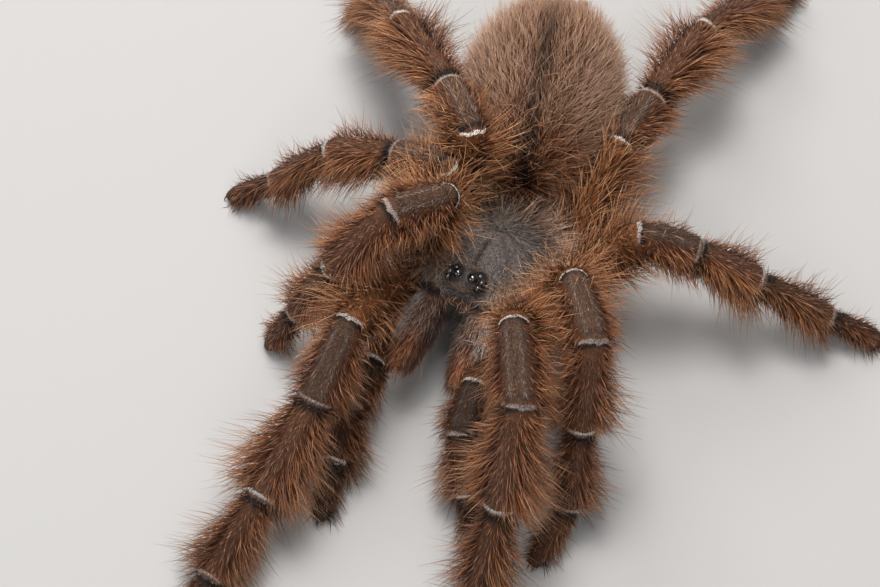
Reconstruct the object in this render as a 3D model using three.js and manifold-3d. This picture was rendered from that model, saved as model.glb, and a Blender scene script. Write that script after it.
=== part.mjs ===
// A tarantula at rest, at life size, as one still model.
// Millimetres and degrees, +Z up. The animal faces -Y, turned a little towards -X.
// Every solid reaches out to the tips of the dense coat. Neighbours keep a small gap.

import * as THREE from 'three';
import { mergeVertices } from 'three/addons/utils/BufferGeometryUtils.js';
import Module from 'manifold-3d';

const wasm = await Module();
wasm.setup();

// ---------------------------------------------------------------- driving dimensions

const LIMB_UNIT = 14; // limb segment ratios are shares of this length
const GAP = 0.3; // clearance between neighbouring solids
const ROUND_SIDES = 8; // facets round a limb
const SEGMENT_RINGS = [2, 2, 3, 3, 2]; // steps along femur, patella, tibia and foot

const STANCE = {
  height: 5.0, // carapace centre above the floor
  heading: 25, // turned from -Y towards -X
  pitch: 14, // head end raised
};

// The plate is 15 long under its coat.
const CARAPACE = {
  halfWidth: 6.7,
  frontReach: 7.9,
  rearReach: 8.3,
  dome: 4.1,
  skirt: 1.3,
  headNarrowing: 0.3,
};

const EYE_MOUND = {
  forward: 5.75, up: 3.45,
  halfLength: 1.55, halfWidth: 2.15, halfHeight: 1.2,
};

// Each pair of eyes: place in the head frame (forward, out, up) and half sizes.
const EYE_PAIRS = [
  { name: 'front_middle', forward: 6.0, out: 0.71, up: 4.5, size: [0.52, 0.52, 0.42] },
  { name: 'front_side', forward: 6.5, out: 1.5, up: 4.05, size: [0.37, 0.32, 0.32] },
  { name: 'rear_side', forward: 5.72, out: 1.58, up: 4.18, size: [0.32, 0.27, 0.27] },
  { name: 'rear_middle', forward: 5.3, out: 1.16, up: 4.34, size: [0.26, 0.24, 0.2] },
];

const CHELICERA = {
  forward: 6.6, out: 2.45, up: 0.4, // where the hard base leaves the head
  length: 7.6, spread: 5, droop: 20,
  baseRadius: 2.05, bellyRadius: 2.25, tipRadius: 1.6,
};

const FANG = { length: 4.6, rootRadius: 0.62, tipRadius: 0.16, curl: 62, drop: 1.35 };

const STERNUM = { halfLength: 5.4, halfWidth: 4.2, halfHeight: 1.5, down: 1.5 };
const COXA = { innerShare: 0.4, outerShare: 0.82, rootRadius: 1.5, endRadius: 1.7, down: 1.3 };

const ABDOMEN = {
  length: 21.5, halfWidth: 7.6, halfHeight: 6.75,
  heading: 11, // its axis points back, turned from +Y towards +X
  tilt: 5, centreHeight: 7.75,
  fullness: 0.14, // how much wider it is behind its middle
};

const PEDICEL = { back: 7.6, radius: 1.1, length: 6.2, rise: 14 };
const SPINNERET = { length: 4.4, rootRadius: 0.72, tipRadius: 0.34, spread: 13, out: 1.1, lift: 4 };

// Where a limb leaves the body, in the head frame: forward, out, up.
const ROOTS = {
  palp: [6.2, 3.8, -3.0],
  1: [5.7, 6.3, 0],
  2: [2.1, 7.5, 0],
  3: [-1.8, 7.5, 0],
  4: [-5.4, 6.0, 0],
};

// Segment lengths as shares of LIMB_UNIT: femur, patella, tibia, metatarsus, tarsus.
const LENGTHS = {
  palp: [0.48, 0.33, 0.40, 0.34],
  1: [0.84, 0.53, 0.70, 0.60, 0.42],
  2: [0.76, 0.48, 0.60, 0.56, 0.40],
  3: [0.64, 0.38, 0.48, 0.56, 0.38],
  4: [0.80, 0.43, 0.66, 0.76, 0.40],
};

// Coat radius at each joint, from the root to the tip of the limb.
const JOINT_RADII = {
  palp: [1.8, 2.0, 2.1, 1.9, 1.3],
  1: [2.1, 2.35, 2.55, 2.3, 1.9, 1.2],
  2: [2.0, 2.3, 2.5, 2.2, 1.8, 1.1],
  3: [2.0, 2.2, 2.35, 2.1, 1.75, 1.1],
  4: [2.0, 2.25, 2.4, 2.2, 1.8, 1.1],
};

// How far the long coat swells each segment beyond the line between its joints.
const SWELL = {
  palp: [0.5, 0.4, 0.9, 0.5],
  1: [0.7, 0.45, 1.5, 0.9, 0.5],
  2: [0.7, 0.6, 1.1, 0.9, 0.4],
  3: [0.7, 0.6, 1.1, 0.9, 0.4],
  4: [0.8, 0.7, 1.5, 1.1, 0.4],
};

// The stance of each limb. heading: from straight ahead out to the limb's own side.
// lean: the limb's plane tipped from the vertical. turn: extra heading from the tibia on,
// footTurn from the metatarsus on, toeTurn of the tarsus alone.
// pitch: rise of femur, patella, tibia and, on a leg, metatarsus. The last segment
// always reaches down to the floor.
const LIMBS = [
  { side: 'left', kind: 'palp', heading: 8, lean: -2, turn: 26, pitch: [24, -12, -38] },
  { side: 'left', kind: '1', heading: 28, lean: -9, turn: -32, pitch: [60, -4, -54, -46] },
  { side: 'left', kind: '2', heading: 37, lean: 4, turn: -17, pitch: [70, 7, -57, -56], toeTurn: -30 },
  { side: 'left', kind: '3', heading: 112, lean: 12, turn: -4, pitch: [46, -21, -27, -28] },
  { side: 'left', kind: '4', heading: 173, lean: 13, turn: -3, pitch: [20, 1, 3, -27] },
  { side: 'right', kind: 'palp', heading: 9, lean: 11, turn: -16, pitch: [8, -17, -14] },
  { side: 'right', kind: '1', heading: 3, lean: -3, turn: 4, pitch: [34, -36, -25, -16] },
  { side: 'right', kind: '2', heading: 35, lean: -14, turn: -6, pitch: [105, 29, -52, -67] },
  { side: 'right', kind: '3', heading: 104, lean: 11, turn: -22, pitch: [97, -26, -16, -48] },
  { side: 'right', kind: '4', heading: 136, lean: 10, turn: -8, pitch: [87, -12, -7, -43], footTurn: 14 },
];

const TOE_HEIGHT = { palp: 0.85, leg: 0.6 }; // axis of the last segment's tip above the floor
const LIMB_SECTION = { width: 0.95, height: 1.04 }; // a limb is a little deeper than wide
const SWELL_PEAK = 0.7; // share of the segment where the coat stands widest

const FINISH = {
  coat: { color: 0x8a5a43, roughness: 0.9, metalness: 0 },
  thigh: { color: 0x9c5a35, roughness: 0.9, metalness: 0 },
  velvet: { color: 0x6f5548, roughness: 0.85, metalness: 0 },
  foot: { color: 0x6b4437, roughness: 0.9, metalness: 0 },
  belly: { color: 0x4a3a33, roughness: 0.85, metalness: 0 },
  abdomen: { color: 0xa9795d, roughness: 0.95, metalness: 0 },
  shell: { color: 0x6e6258, roughness: 0.7, metalness: 0 },
  fang: { color: 0x120c0a, roughness: 0.2, metalness: 0 },
  eye: { color: 0x050505, roughness: 0.05, metalness: 0 },
};

// ---------------------------------------------------------------- frames

const UP = new THREE.Vector3(0, 0, 1);
const radians = THREE.MathUtils.degToRad;

// The head frame: forward, left and up axes, with its centre above the floor.
function headFrame() {
  const heading = radians(STANCE.heading);
  const pitch = radians(STANCE.pitch);
  const forward = new THREE.Vector3(
    -Math.sin(heading) * Math.cos(pitch),
    -Math.cos(heading) * Math.cos(pitch),
    Math.sin(pitch),
  );
  const left = new THREE.Vector3(Math.cos(heading), -Math.sin(heading), 0);
  const up = forward.clone().cross(left);
  return { centre: new THREE.Vector3(0, 0, STANCE.height), forward, left, up };
}

const HEAD = headFrame();

function headPoint(forward, left, up) {
  return HEAD.centre.clone()
    .addScaledVector(HEAD.forward, forward)
    .addScaledVector(HEAD.left, left)
    .addScaledVector(HEAD.up, up);
}

// A frame whose Y runs along `direction`, Z along the part of `dorsal` square to it.
function frameAlong(origin, direction, dorsal) {
  const along = direction.clone().normalize();
  const across = along.clone().cross(dorsal).normalize();
  const above = across.clone().cross(along);
  return new THREE.Matrix4().makeBasis(across, along, above).setPosition(origin);
}

// A horizontal unit vector, turned from straight back (+Y) towards +X.
function backward(degrees) {
  return new THREE.Vector3(Math.sin(radians(degrees)), Math.cos(radians(degrees)), 0);
}

// ---------------------------------------------------------------- solids

function solidOf(geometry) {
  geometry.deleteAttribute('normal');
  geometry.deleteAttribute('uv');
  const merged = mergeVertices(geometry, 1e-4);
  const corners = [];
  const index = merged.index.array;
  for (let i = 0; i < index.length; i += 3) {
    const [a, b, c] = index.slice(i, i + 3);
    if (a !== b && b !== c && c !== a) corners.push(a, b, c);
  }
  return new wasm.Manifold(new wasm.Mesh({
    numProp: 3,
    vertProperties: new Float32Array(merged.attributes.position.array),
    triVerts: new Uint32Array(corners),
  }));
}

function geometryOf(solid) {
  const mesh = solid.getMesh();
  const geometry = new THREE.BufferGeometry();
  geometry.setAttribute('position', new THREE.BufferAttribute(mesh.vertProperties, 3));
  geometry.setIndex(new THREE.BufferAttribute(mesh.triVerts, 1));
  geometry.computeVertexNormals();
  return geometry;
}

// The largest body of a solid: what is left of a piece when a cut splits off a sliver.
function largestBody(solid) {
  const bodies = solid.decompose();
  return bodies.reduce((best, body) => (body.volume() > best.volume() ? body : best));
}

// A round body along Y with ball ends: a ball at each end, and `radiusAt(share)` between.
function ballEndedBody(length, radiusAt, sides, rings) {
  const profile = [];
  const capSteps = 2;
  const startRadius = radiusAt(0);
  const endRadius = radiusAt(1);
  for (let i = 0; i < capSteps; i += 1) {
    const angle = (i / capSteps) * (Math.PI / 2);
    profile.push(new THREE.Vector2(startRadius * Math.sin(angle), -startRadius * Math.cos(angle)));
  }
  for (let i = 0; i <= rings; i += 1) {
    profile.push(new THREE.Vector2(radiusAt(i / rings), (length * i) / rings));
  }
  for (let i = capSteps - 1; i >= 0; i -= 1) {
    const angle = (i / capSteps) * (Math.PI / 2);
    profile.push(new THREE.Vector2(
      endRadius * Math.sin(angle),
      length + endRadius * Math.cos(angle),
    ));
  }
  return new THREE.LatheGeometry(profile, sides);
}

function ellipsoid(centre, halfSizes, frame, grow, sides = 10, rings = 6) {
  const geometry = new THREE.SphereGeometry(1, sides, rings);
  geometry.scale(...halfSizes.map((half) => half + grow));
  geometry.applyMatrix4(frame.clone().setPosition(centre));
  return solidOf(geometry);
}

// Everything on the far side of a plane, as a block much larger than the animal.
function halfSpace(point, normal) {
  const size = 200;
  const block = new THREE.BoxGeometry(size, size, size);
  block.translate(0, size / 2, 0);
  const helper = Math.abs(normal.z) < 0.9 ? UP : new THREE.Vector3(1, 0, 0);
  block.applyMatrix4(frameAlong(point, normal, helper));
  return solidOf(block);
}

const BELOW_FLOOR = halfSpace(new THREE.Vector3(0, 0, 0), new THREE.Vector3(0, 0, -1));

// ---------------------------------------------------------------- limbs

// Joints, directions and dorsal normals of one limb, from its root to its toe.
function limbChain(limb) {
  const side = limb.side === 'left' ? 1 : -1;
  const [forward, out, up] = ROOTS[limb.kind];
  const ahead = Math.atan2(HEAD.forward.y, HEAD.forward.x);
  const lengths = LENGTHS[limb.kind].map((share) => share * LIMB_UNIT);
  const toe = TOE_HEIGHT[limb.kind === 'palp' ? 'palp' : 'leg'];
  const lean = radians(limb.lean);
  const joints = [headPoint(forward, out * side, up)];
  const directions = [];
  const normals = [];
  const turns = [0, 0, limb.turn, limb.footTurn ?? 0, limb.toeTurn ?? 0];
  let outwards = limb.heading;
  lengths.forEach((length, i) => {
    const start = joints[i];
    outwards += turns[i];
    const heading = ahead + side * radians(outwards);
    const outward = new THREE.Vector3(Math.cos(heading), Math.sin(heading), 0);
    const sideways = new THREE.Vector3(-Math.sin(heading), Math.cos(heading), 0);
    const rise = UP.clone().multiplyScalar(Math.cos(lean))
      .addScaledVector(sideways, Math.sin(lean) * side);
    const reach = (toe - start.z) / (length * Math.cos(lean));
    const pitch = i < limb.pitch.length ? radians(limb.pitch[i]) : Math.asin(reach);
    const direction = outward.clone().multiplyScalar(Math.cos(pitch))
      .addScaledVector(rise, Math.sin(pitch));
    const normal = outward.clone().multiplyScalar(-Math.sin(pitch))
      .addScaledVector(rise, Math.cos(pitch));
    directions.push(direction);
    normals.push(normal);
    joints.push(start.clone().addScaledVector(direction, length));
  });
  return { lengths, joints, directions, normals };
}

// One limb segment out to the tips of its coat, before its neighbours are considered.
function segmentSolid(limb, chain, i, grow) {
  const radii = JOINT_RADII[limb.kind];
  const swell = SWELL[limb.kind][i];
  const radiusAt = (share) => {
    const line = THREE.MathUtils.lerp(radii[i], radii[i + 1], share);
    const hump = share < SWELL_PEAK
      ? share / SWELL_PEAK
      : (1 - share) / (1 - SWELL_PEAK);
    return line + swell * Math.sin((hump * Math.PI) / 2) ** 2 + grow;
  };
  const geometry = ballEndedBody(chain.lengths[i], radiusAt, ROUND_SIDES, SEGMENT_RINGS[i]);
  geometry.scale(LIMB_SECTION.width, 1, LIMB_SECTION.height);
  geometry.applyMatrix4(frameAlong(chain.joints[i], chain.directions[i], chain.normals[i]));
  return solidOf(geometry);
}

// The plane between two segments halves their bend; each keeps half the gap from it.
function trimAtJoint(solid, chain, joint, keepsRootSide, grow) {
  const bisector = chain.directions[joint - 1].clone().add(chain.directions[joint]).normalize();
  const offset = GAP / 2 - grow;
  const away = keepsRootSide ? bisector : bisector.clone().negate();
  const point = chain.joints[joint].clone().addScaledVector(away, -offset);
  return solid.subtract(halfSpace(point, away));
}

function limbPiece(limb, chain, first, last, grow) {
  let solid = segmentSolid(limb, chain, first, grow);
  if (last > first) solid = solid.add(segmentSolid(limb, chain, last, grow));
  if (first > 0) solid = trimAtJoint(solid, chain, first, false, grow);
  if (last + 1 < chain.lengths.length) solid = trimAtJoint(solid, chain, last + 1, true, grow);
  return solid;
}

function limbPieces(limb) {
  const chain = limbChain(limb);
  const stem = limb.kind === 'palp' ? `palp_${limb.side}` : `leg_${limb.side}_${limb.kind}`;
  const foot = limb.kind === 'palp' ? 'tarsus' : 'foot';
  const spans = [
    { part: 'femur', first: 0, last: 0, finish: 'thigh' },
    { part: 'patella', first: 1, last: 1, finish: 'velvet' },
    { part: 'tibia', first: 2, last: 2, finish: 'coat' },
    { part: foot, first: 3, last: chain.lengths.length - 1, finish: 'foot' },
  ];
  return spans.map(({ part, first, last, finish }) => ({
    name: `${stem}_${part}`,
    family: stem,
    place: first,
    finish,
    build: (grow) => limbPiece(limb, chain, first, last, grow),
  }));
}

// ---------------------------------------------------------------- head and body

const HEAD_AXES = new THREE.Matrix4().makeBasis(
  HEAD.forward.clone().cross(HEAD.up), HEAD.forward, HEAD.up,
);

// A domed plate: broad over the leg roots, narrower and higher at the head end, with a
// short skirt below its rim.
function carapaceSolid(grow) {
  const geometry = new THREE.SphereGeometry(1, 16, 7);
  const position = geometry.attributes.position;
  for (let i = 0; i < position.count; i += 1) {
    const along = position.getY(i);
    const ring = Math.max(Math.sqrt(Math.max(1 - along * along, 0)), 1e-9);
    const across = position.getX(i) / ring;
    const above = position.getZ(i) / ring;
    const fullness = ring ** 0.62;
    const narrowing = 1 - CARAPACE.headNarrowing * Math.max(along, 0) ** 1.5;
    const headRise = 1 + 0.1 * Math.max(along, 0) - 0.28 * Math.max(-along, 0);
    const reach = along > 0 ? CARAPACE.frontReach : CARAPACE.rearReach;
    const height = above > 0 ? CARAPACE.dome * headRise : CARAPACE.skirt;
    position.setXYZ(
      i,
      across * fullness * ((CARAPACE.halfWidth * narrowing) + grow),
      along * (reach + grow),
      Math.sign(above) * Math.abs(above) ** 0.85 * fullness * (height + grow),
    );
  }
  geometry.applyMatrix4(HEAD_AXES.clone().setPosition(HEAD.centre));
  return solidOf(geometry);
}

function eyeMoundSolid(grow) {
  const { forward, up, halfLength, halfWidth, halfHeight } = EYE_MOUND;
  return ellipsoid(headPoint(forward, 0, up), [halfWidth, halfLength, halfHeight], HEAD_AXES, grow);
}

function cheliceraFrame(side) {
  const { forward, out, up, spread, droop } = CHELICERA;
  const ahead = Math.atan2(HEAD.forward.y, HEAD.forward.x) + side * radians(spread);
  const level = new THREE.Vector3(Math.cos(ahead), Math.sin(ahead), 0);
  const direction = level.clone().multiplyScalar(Math.cos(radians(droop)))
    .addScaledVector(UP, -Math.sin(radians(droop)));
  return frameAlong(headPoint(forward, out * side, up), direction, UP);
}

function cheliceraSolid(side, grow) {
  const { length, baseRadius, bellyRadius, tipRadius } = CHELICERA;
  const radiusAt = (share) => {
    const line = THREE.MathUtils.lerp(baseRadius, tipRadius, share);
    const belly = bellyRadius - (baseRadius + tipRadius) / 2;
    return line + belly * Math.sin(Math.PI * share) + grow;
  };
  const geometry = ballEndedBody(length - tipRadius, radiusAt, 8, 3);
  geometry.scale(0.92, 1, 1.08);
  geometry.applyMatrix4(cheliceraFrame(side));
  return solidOf(geometry);
}

// A tapered hook: a straight cone bent round an arc, folded back under the chelicera.
function fangSolid(side, grow) {
  const { length, rootRadius, tipRadius, curl, drop } = FANG;
  const radiusAt = (share) => THREE.MathUtils.lerp(rootRadius, tipRadius, share ** 0.8) + grow;
  const geometry = ballEndedBody(length, radiusAt, 6, 4);
  const bendRadius = length / radians(curl);
  const position = geometry.attributes.position;
  for (let i = 0; i < position.count; i += 1) {
    const angle = position.getY(i) / bendRadius;
    const fromCentre = bendRadius + position.getZ(i);
    position.setY(i, fromCentre * Math.sin(angle));
    position.setZ(i, fromCentre * Math.cos(angle) - bendRadius);
  }
  geometry.rotateX(radians(-118));
  geometry.translate(0, CHELICERA.length - 1.7, -drop);
  geometry.applyMatrix4(cheliceraFrame(side));
  return solidOf(geometry);
}

// A round rod between two points, thicker or thinner at its end, with ball ends.
function rodSolid(start, end, startRadius, endRadius, grow, sides = 6) {
  const along = end.clone().sub(start);
  const radiusAt = (share) => THREE.MathUtils.lerp(startRadius, endRadius, share) + grow;
  const geometry = ballEndedBody(along.length(), radiusAt, sides, 2);
  geometry.applyMatrix4(frameAlong(start, along, UP));
  return solidOf(geometry);
}

// A blunt six-sided hip between two points.
function hipSolid(inner, outer, grow) {
  const along = outer.clone().sub(inner);
  const length = along.length() + 2 * grow;
  const geometry = new THREE.CylinderGeometry(COXA.endRadius + grow, COXA.rootRadius + grow, length, 5);
  geometry.applyMatrix4(frameAlong(inner.clone().add(outer).multiplyScalar(0.5), along, UP));
  return solidOf(geometry);
}

// The breast plate with the ten hips that radiate from it.
function undersideSolid(grow) {
  const { halfLength, halfWidth, halfHeight, down } = STERNUM;
  let solid = ellipsoid(headPoint(0.2, 0, -down), [halfWidth, halfLength, halfHeight], HEAD_AXES, grow);
  for (const [forward, out, up] of Object.values(ROOTS)) {
    for (const side of [1, -1]) {
      const [inner, outer] = [COXA.innerShare, COXA.outerShare].map((share) => (
        headPoint(forward * share, out * share * side, up * share - COXA.down)
      ));
      solid = solid.add(hipSolid(inner, outer, grow));
    }
  }
  return solid;
}

function abdomenFrame() {
  const level = backward(ABDOMEN.heading);
  const axis = level.clone().multiplyScalar(Math.cos(radians(ABDOMEN.tilt)))
    .addScaledVector(UP, Math.sin(radians(ABDOMEN.tilt)));
  const waist = headPoint(-PEDICEL.back, 0, 0);
  const centre = new THREE.Vector3(waist.x, waist.y, ABDOMEN.centreHeight)
    .addScaledVector(level, ABDOMEN.length / 2 - 0.6);
  return { axis, centre, matrix: frameAlong(centre, axis, UP) };
}

const ABDOMEN_FRAME = abdomenFrame();

// An egg that is fuller behind its middle.
function abdomenSolid(grow) {
  const geometry = new THREE.SphereGeometry(1, 13, 8);
  const position = geometry.attributes.position;
  for (let i = 0; i < position.count; i += 1) {
    const along = position.getY(i);
    const fuller = 1 + ABDOMEN.fullness * along - ABDOMEN.fullness * along * along * 0.5;
    position.setXYZ(
      i,
      position.getX(i) * fuller * (ABDOMEN.halfWidth + grow),
      along * (ABDOMEN.length / 2 + grow),
      position.getZ(i) * (ABDOMEN.halfHeight + grow),
    );
  }
  geometry.applyMatrix4(ABDOMEN_FRAME.matrix);
  return solidOf(geometry);
}

function pedicelSolid(grow) {
  const start = headPoint(-PEDICEL.back + 1.6, 0, -0.2);
  const level = backward((STANCE.heading + ABDOMEN.heading) / 2);
  const end = start.clone()
    .addScaledVector(level, PEDICEL.length)
    .addScaledVector(UP, PEDICEL.length * Math.sin(radians(PEDICEL.rise)));
  return rodSolid(start, end, PEDICEL.radius, PEDICEL.radius, grow);
}

// A tapered spinning finger that trails from the low rear of the abdomen.
function spinneretSolid(side, grow) {
  const { length, rootRadius, tipRadius, spread, out, lift } = SPINNERET;
  const level = backward(ABDOMEN.heading - side * spread);
  const across = new THREE.Vector3(level.y, -level.x, 0);
  const start = ABDOMEN_FRAME.centre.clone()
    .addScaledVector(ABDOMEN_FRAME.axis, ABDOMEN.length / 2 - 1.5)
    .addScaledVector(across, -side * out)
    .addScaledVector(UP, -2.6);
  const end = start.clone()
    .addScaledVector(level, length)
    .addScaledVector(UP, length * Math.sin(radians(lift)));
  return rodSolid(start, end, rootRadius, tipRadius, grow, 8);
}

// ---------------------------------------------------------------- all pieces

function eyePieces() {
  return EYE_PAIRS.flatMap(({ name, forward, out, up, size }) => ['left', 'right'].map((word) => {
    const side = word === 'left' ? 1 : -1;
    const centre = headPoint(forward, out * side, up);
    return {
      name: `eye_${name}_${word}`,
      finish: 'eye',
      build: (grow) => ellipsoid(centre, [size[1], size[0], size[2]], HEAD_AXES, grow, 7, 4),
    };
  }));
}

function mirrored(stem, finish, build) {
  return [['left', 1], ['right', -1]].map(([word, side]) => ({
    name: `${stem}_${word}`, finish, build: (grow) => build(side, grow),
  }));
}

// Earlier pieces keep their shape; each later piece makes room for those before it.
const PIECES = [
  ...eyePieces(),
  { name: 'eye_mound', finish: 'shell', build: eyeMoundSolid },
  ...mirrored('fang', 'fang', fangSolid),
  ...mirrored('chelicera', 'velvet', cheliceraSolid),
  { name: 'carapace', finish: 'shell', build: carapaceSolid },
  { name: 'underside', finish: 'belly', build: undersideSolid },
  ...LIMBS.flatMap(limbPieces),
  ...mirrored('spinneret', 'belly', spinneretSolid),
  { name: 'abdomen', finish: 'abdomen', build: abdomenSolid },
  { name: 'pedicel', finish: 'belly', build: pedicelSolid },
];

// Segments that share a joint already keep their gap at the plane between them.
function shareJoint(a, b) {
  return a.family !== undefined && a.family === b.family && Math.abs(a.place - b.place) === 1;
}

function boxesMeet(a, b) {
  const boxA = a.boundingBox();
  const boxB = b.boundingBox();
  return [0, 1, 2].every((k) => boxA.min[k] < boxB.max[k] && boxB.min[k] < boxA.max[k]);
}

function fittedSolids() {
  const placed = [];
  for (const piece of PIECES) {
    let solid = piece.build(0).subtract(BELOW_FLOOR);
    for (const other of placed) {
      if (shareJoint(piece, other.piece) || !boxesMeet(solid, other.room)) continue;
      solid = solid.subtract(other.room);
    }
    placed.push({ piece, solid: largestBody(solid), room: piece.build(GAP) });
  }
  return placed;
}

// ---------------------------------------------------------------- the animal

function meshOf({ piece, solid }) {
  const material = new THREE.MeshStandardMaterial({ ...FINISH[piece.finish], flatShading: true });
  const mesh = new THREE.Mesh(geometryOf(solid), material);
  mesh.name = piece.name;
  return mesh;
}

const tarantula = new THREE.Group();
tarantula.add(...fittedSolids().map(meshOf));

// The origin is on the floor, below the middle of the animal's box.
const box = new THREE.Box3().setFromObject(tarantula);
const middle = box.getCenter(new THREE.Vector3());
const group = new THREE.Group();
tarantula.position.set(-middle.x, -middle.y, 0);
group.add(tarantula);

export default group;
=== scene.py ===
"""A life-size tarantula standing on a plain floor.

One skin covers limbs, belly and abdomen. A coat of separate closed hairs grows from it,
and the back shield, eyes, fangs and claws stay pieces of their own. Lengths inside the
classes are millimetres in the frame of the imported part; a mesh is written in metres.
Everywhere u is the share of the way from one pole of a surface to the other, and v the
share of the turn round it.
"""

import logging
from dataclasses import dataclass, field
from enum import Enum
from functools import cached_property

import bpy
import numpy as np
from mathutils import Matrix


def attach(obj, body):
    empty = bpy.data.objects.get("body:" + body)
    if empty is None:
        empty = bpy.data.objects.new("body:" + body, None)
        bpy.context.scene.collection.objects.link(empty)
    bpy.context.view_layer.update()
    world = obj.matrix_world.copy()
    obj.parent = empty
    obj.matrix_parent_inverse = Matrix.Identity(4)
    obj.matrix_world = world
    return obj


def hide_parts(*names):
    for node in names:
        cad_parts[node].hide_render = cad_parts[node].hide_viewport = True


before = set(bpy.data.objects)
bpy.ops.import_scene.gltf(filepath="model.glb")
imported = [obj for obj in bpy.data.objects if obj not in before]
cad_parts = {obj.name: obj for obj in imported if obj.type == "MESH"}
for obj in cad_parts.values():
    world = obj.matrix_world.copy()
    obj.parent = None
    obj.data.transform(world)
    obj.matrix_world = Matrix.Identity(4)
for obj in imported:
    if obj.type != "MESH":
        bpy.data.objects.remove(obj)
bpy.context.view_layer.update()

log = logging.getLogger("tarantula")
Array = np.ndarray
Pair = tuple[float, float]
Triple = tuple[float, float, float]
Colour = Triple
Face = tuple[int, ...]
MeshSize = tuple[int, int]
Material = bpy.types.Material
Socket = bpy.types.NodeSocket
Values = np.ndarray | float

MM = 0.001
TURN = 2 * np.pi
FLOOR_CLEARANCE = 0.03
ROOT_BODY = "root"
UP = np.array([0.0, 0.0, 1.0])


# ---- helpers


def unit(vectors: Array) -> Array:
    """Vectors of length one: each row divided by its own length."""
    return vectors / np.maximum(np.linalg.norm(vectors, axis=-1, keepdims=True), 1e-12)


def smooth(values: Array, low: float, high: float) -> Array:
    """A smooth step, 3x^2 - 2x^3, from 0 at `low` to 1 at `high`."""
    x = np.clip((values - low) / (high - low), 0.0, 1.0)
    return x * x * (3 - 2 * x)


def hill(values: Array, centre: float, width: float) -> Array:
    """A bell curve, exp(-(x - centre)^2 / width^2)."""
    return np.exp(-(((values - centre) / width) ** 2))


def turned(v: Array) -> Array:
    """Turn shares as angles in the half-open turn from -pi to pi."""
    return (TURN * v + np.pi) % TURN - np.pi


def squared(along: Array, dorsal: Array) -> tuple[Array, Array, Array]:
    """Unit axes square to each other: along, across (along x dorsal), and dorsal."""
    along = unit(along)
    across = unit(np.cross(along, dorsal))
    return along, across, np.cross(across, along)


def ball_ended(u: Array, side: Array, length: float) -> Array:
    """A radius that closes as a ball past both ends: side * sqrt(1 - (past / side)^2)."""
    past = np.abs(u - np.clip(u, 0, 1)) * length / side
    return side * np.sqrt(np.clip(1 - past**2, 0, 1))


def on_unwrap(
    across: Array, along: Array, box: tuple[float, ...] = (0.01, 0.01, 0.98, 0.98)
) -> Array:
    """Places on an unwrap: two shares laid into a box of left, bottom, width and height."""
    left, bottom, width, height = box
    return np.stack([left + width * across, bottom + height * along], -1)


def mesh_corners(mesh: bpy.types.Mesh) -> Array:
    """The corners of a mesh, rows of three in metres."""
    corners = np.zeros(len(mesh.vertices) * 3)
    mesh.vertices.foreach_get("co", corners)
    return corners.reshape(-1, 3)


def node_middle(name: str) -> Array:
    """The mean corner of a CAD node, in millimetres in the frame of the part."""
    return mesh_corners(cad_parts[name].data).mean(0) / MM


def joined(meshes: list[tuple[Array, list[Face]]]) -> tuple[Array, list[Face]]:
    """Several meshes as one: corners stacked, and corner numbers moved up to match.

    Args:
        meshes: the corners and faces of each.

    Returns:
        The corners and faces of the whole.
    """
    faces: list[Face] = []
    count = 0
    for corners, polygons in meshes:
        faces += [tuple(index + count for index in polygon) for polygon in polygons]
        count += len(corners)
    return np.vstack([corners for corners, _ in meshes]), faces


# ---- stance


class Side(Enum):
    """The spider's own left or right."""

    LEFT = 1
    RIGHT = -1

    @property
    def word(self) -> str:
        """The side as it stands in node names."""
        return self.name.lower()


class LimbKind(Enum):
    """Which pair a limb belongs to."""

    PALP = "palp"
    FIRST = "1"
    SECOND = "2"
    THIRD = "3"
    FOURTH = "4"


class Part(Enum):
    """The lengths of a limb, from the body outwards."""

    FEMUR = 0
    PATELLA = 1
    TIBIA = 2
    METATARSUS = 3
    TARSUS = 4


@dataclass(frozen=True)
class HeadFrame:
    """Forward, left and up of the head, and its centre above the floor."""

    height: float = 5.0
    heading: float = 25.0
    pitch: float = 14.0
    eye_forward: float = 6.1
    eye_up: float = 4.12

    @property
    def forward(self) -> Array:
        """The way the head points, turned from -Y towards -X and tipped up."""
        turn, tip = np.radians([self.heading, self.pitch])
        return np.array([-np.sin(turn) * np.cos(tip), -np.cos(turn) * np.cos(tip), np.sin(tip)])

    @property
    def left(self) -> Array:
        """The spider's left."""
        turn = np.radians(self.heading)
        return np.array([np.cos(turn), -np.sin(turn), 0.0])

    @property
    def up(self) -> Array:
        """Square to forward and left."""
        return np.cross(self.forward, self.left)

    @cached_property
    def centre(self) -> Array:
        """Middle of the head, found from the front middle pair of eyes of the frame."""
        pair = [node_middle(f"eye_front_middle_{side.word}") for side in Side]
        between = np.mean(pair, axis=0)
        return between - self.forward * self.eye_forward - self.up * self.eye_up

    def point(self, forward: float, left: float, up: float) -> Array:
        """The point so many millimetres ahead of, left of and above the head's centre."""
        return self.centre + self.forward * forward + self.left * left + self.up * up


HEAD = HeadFrame()


# ---- surfaces


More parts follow.
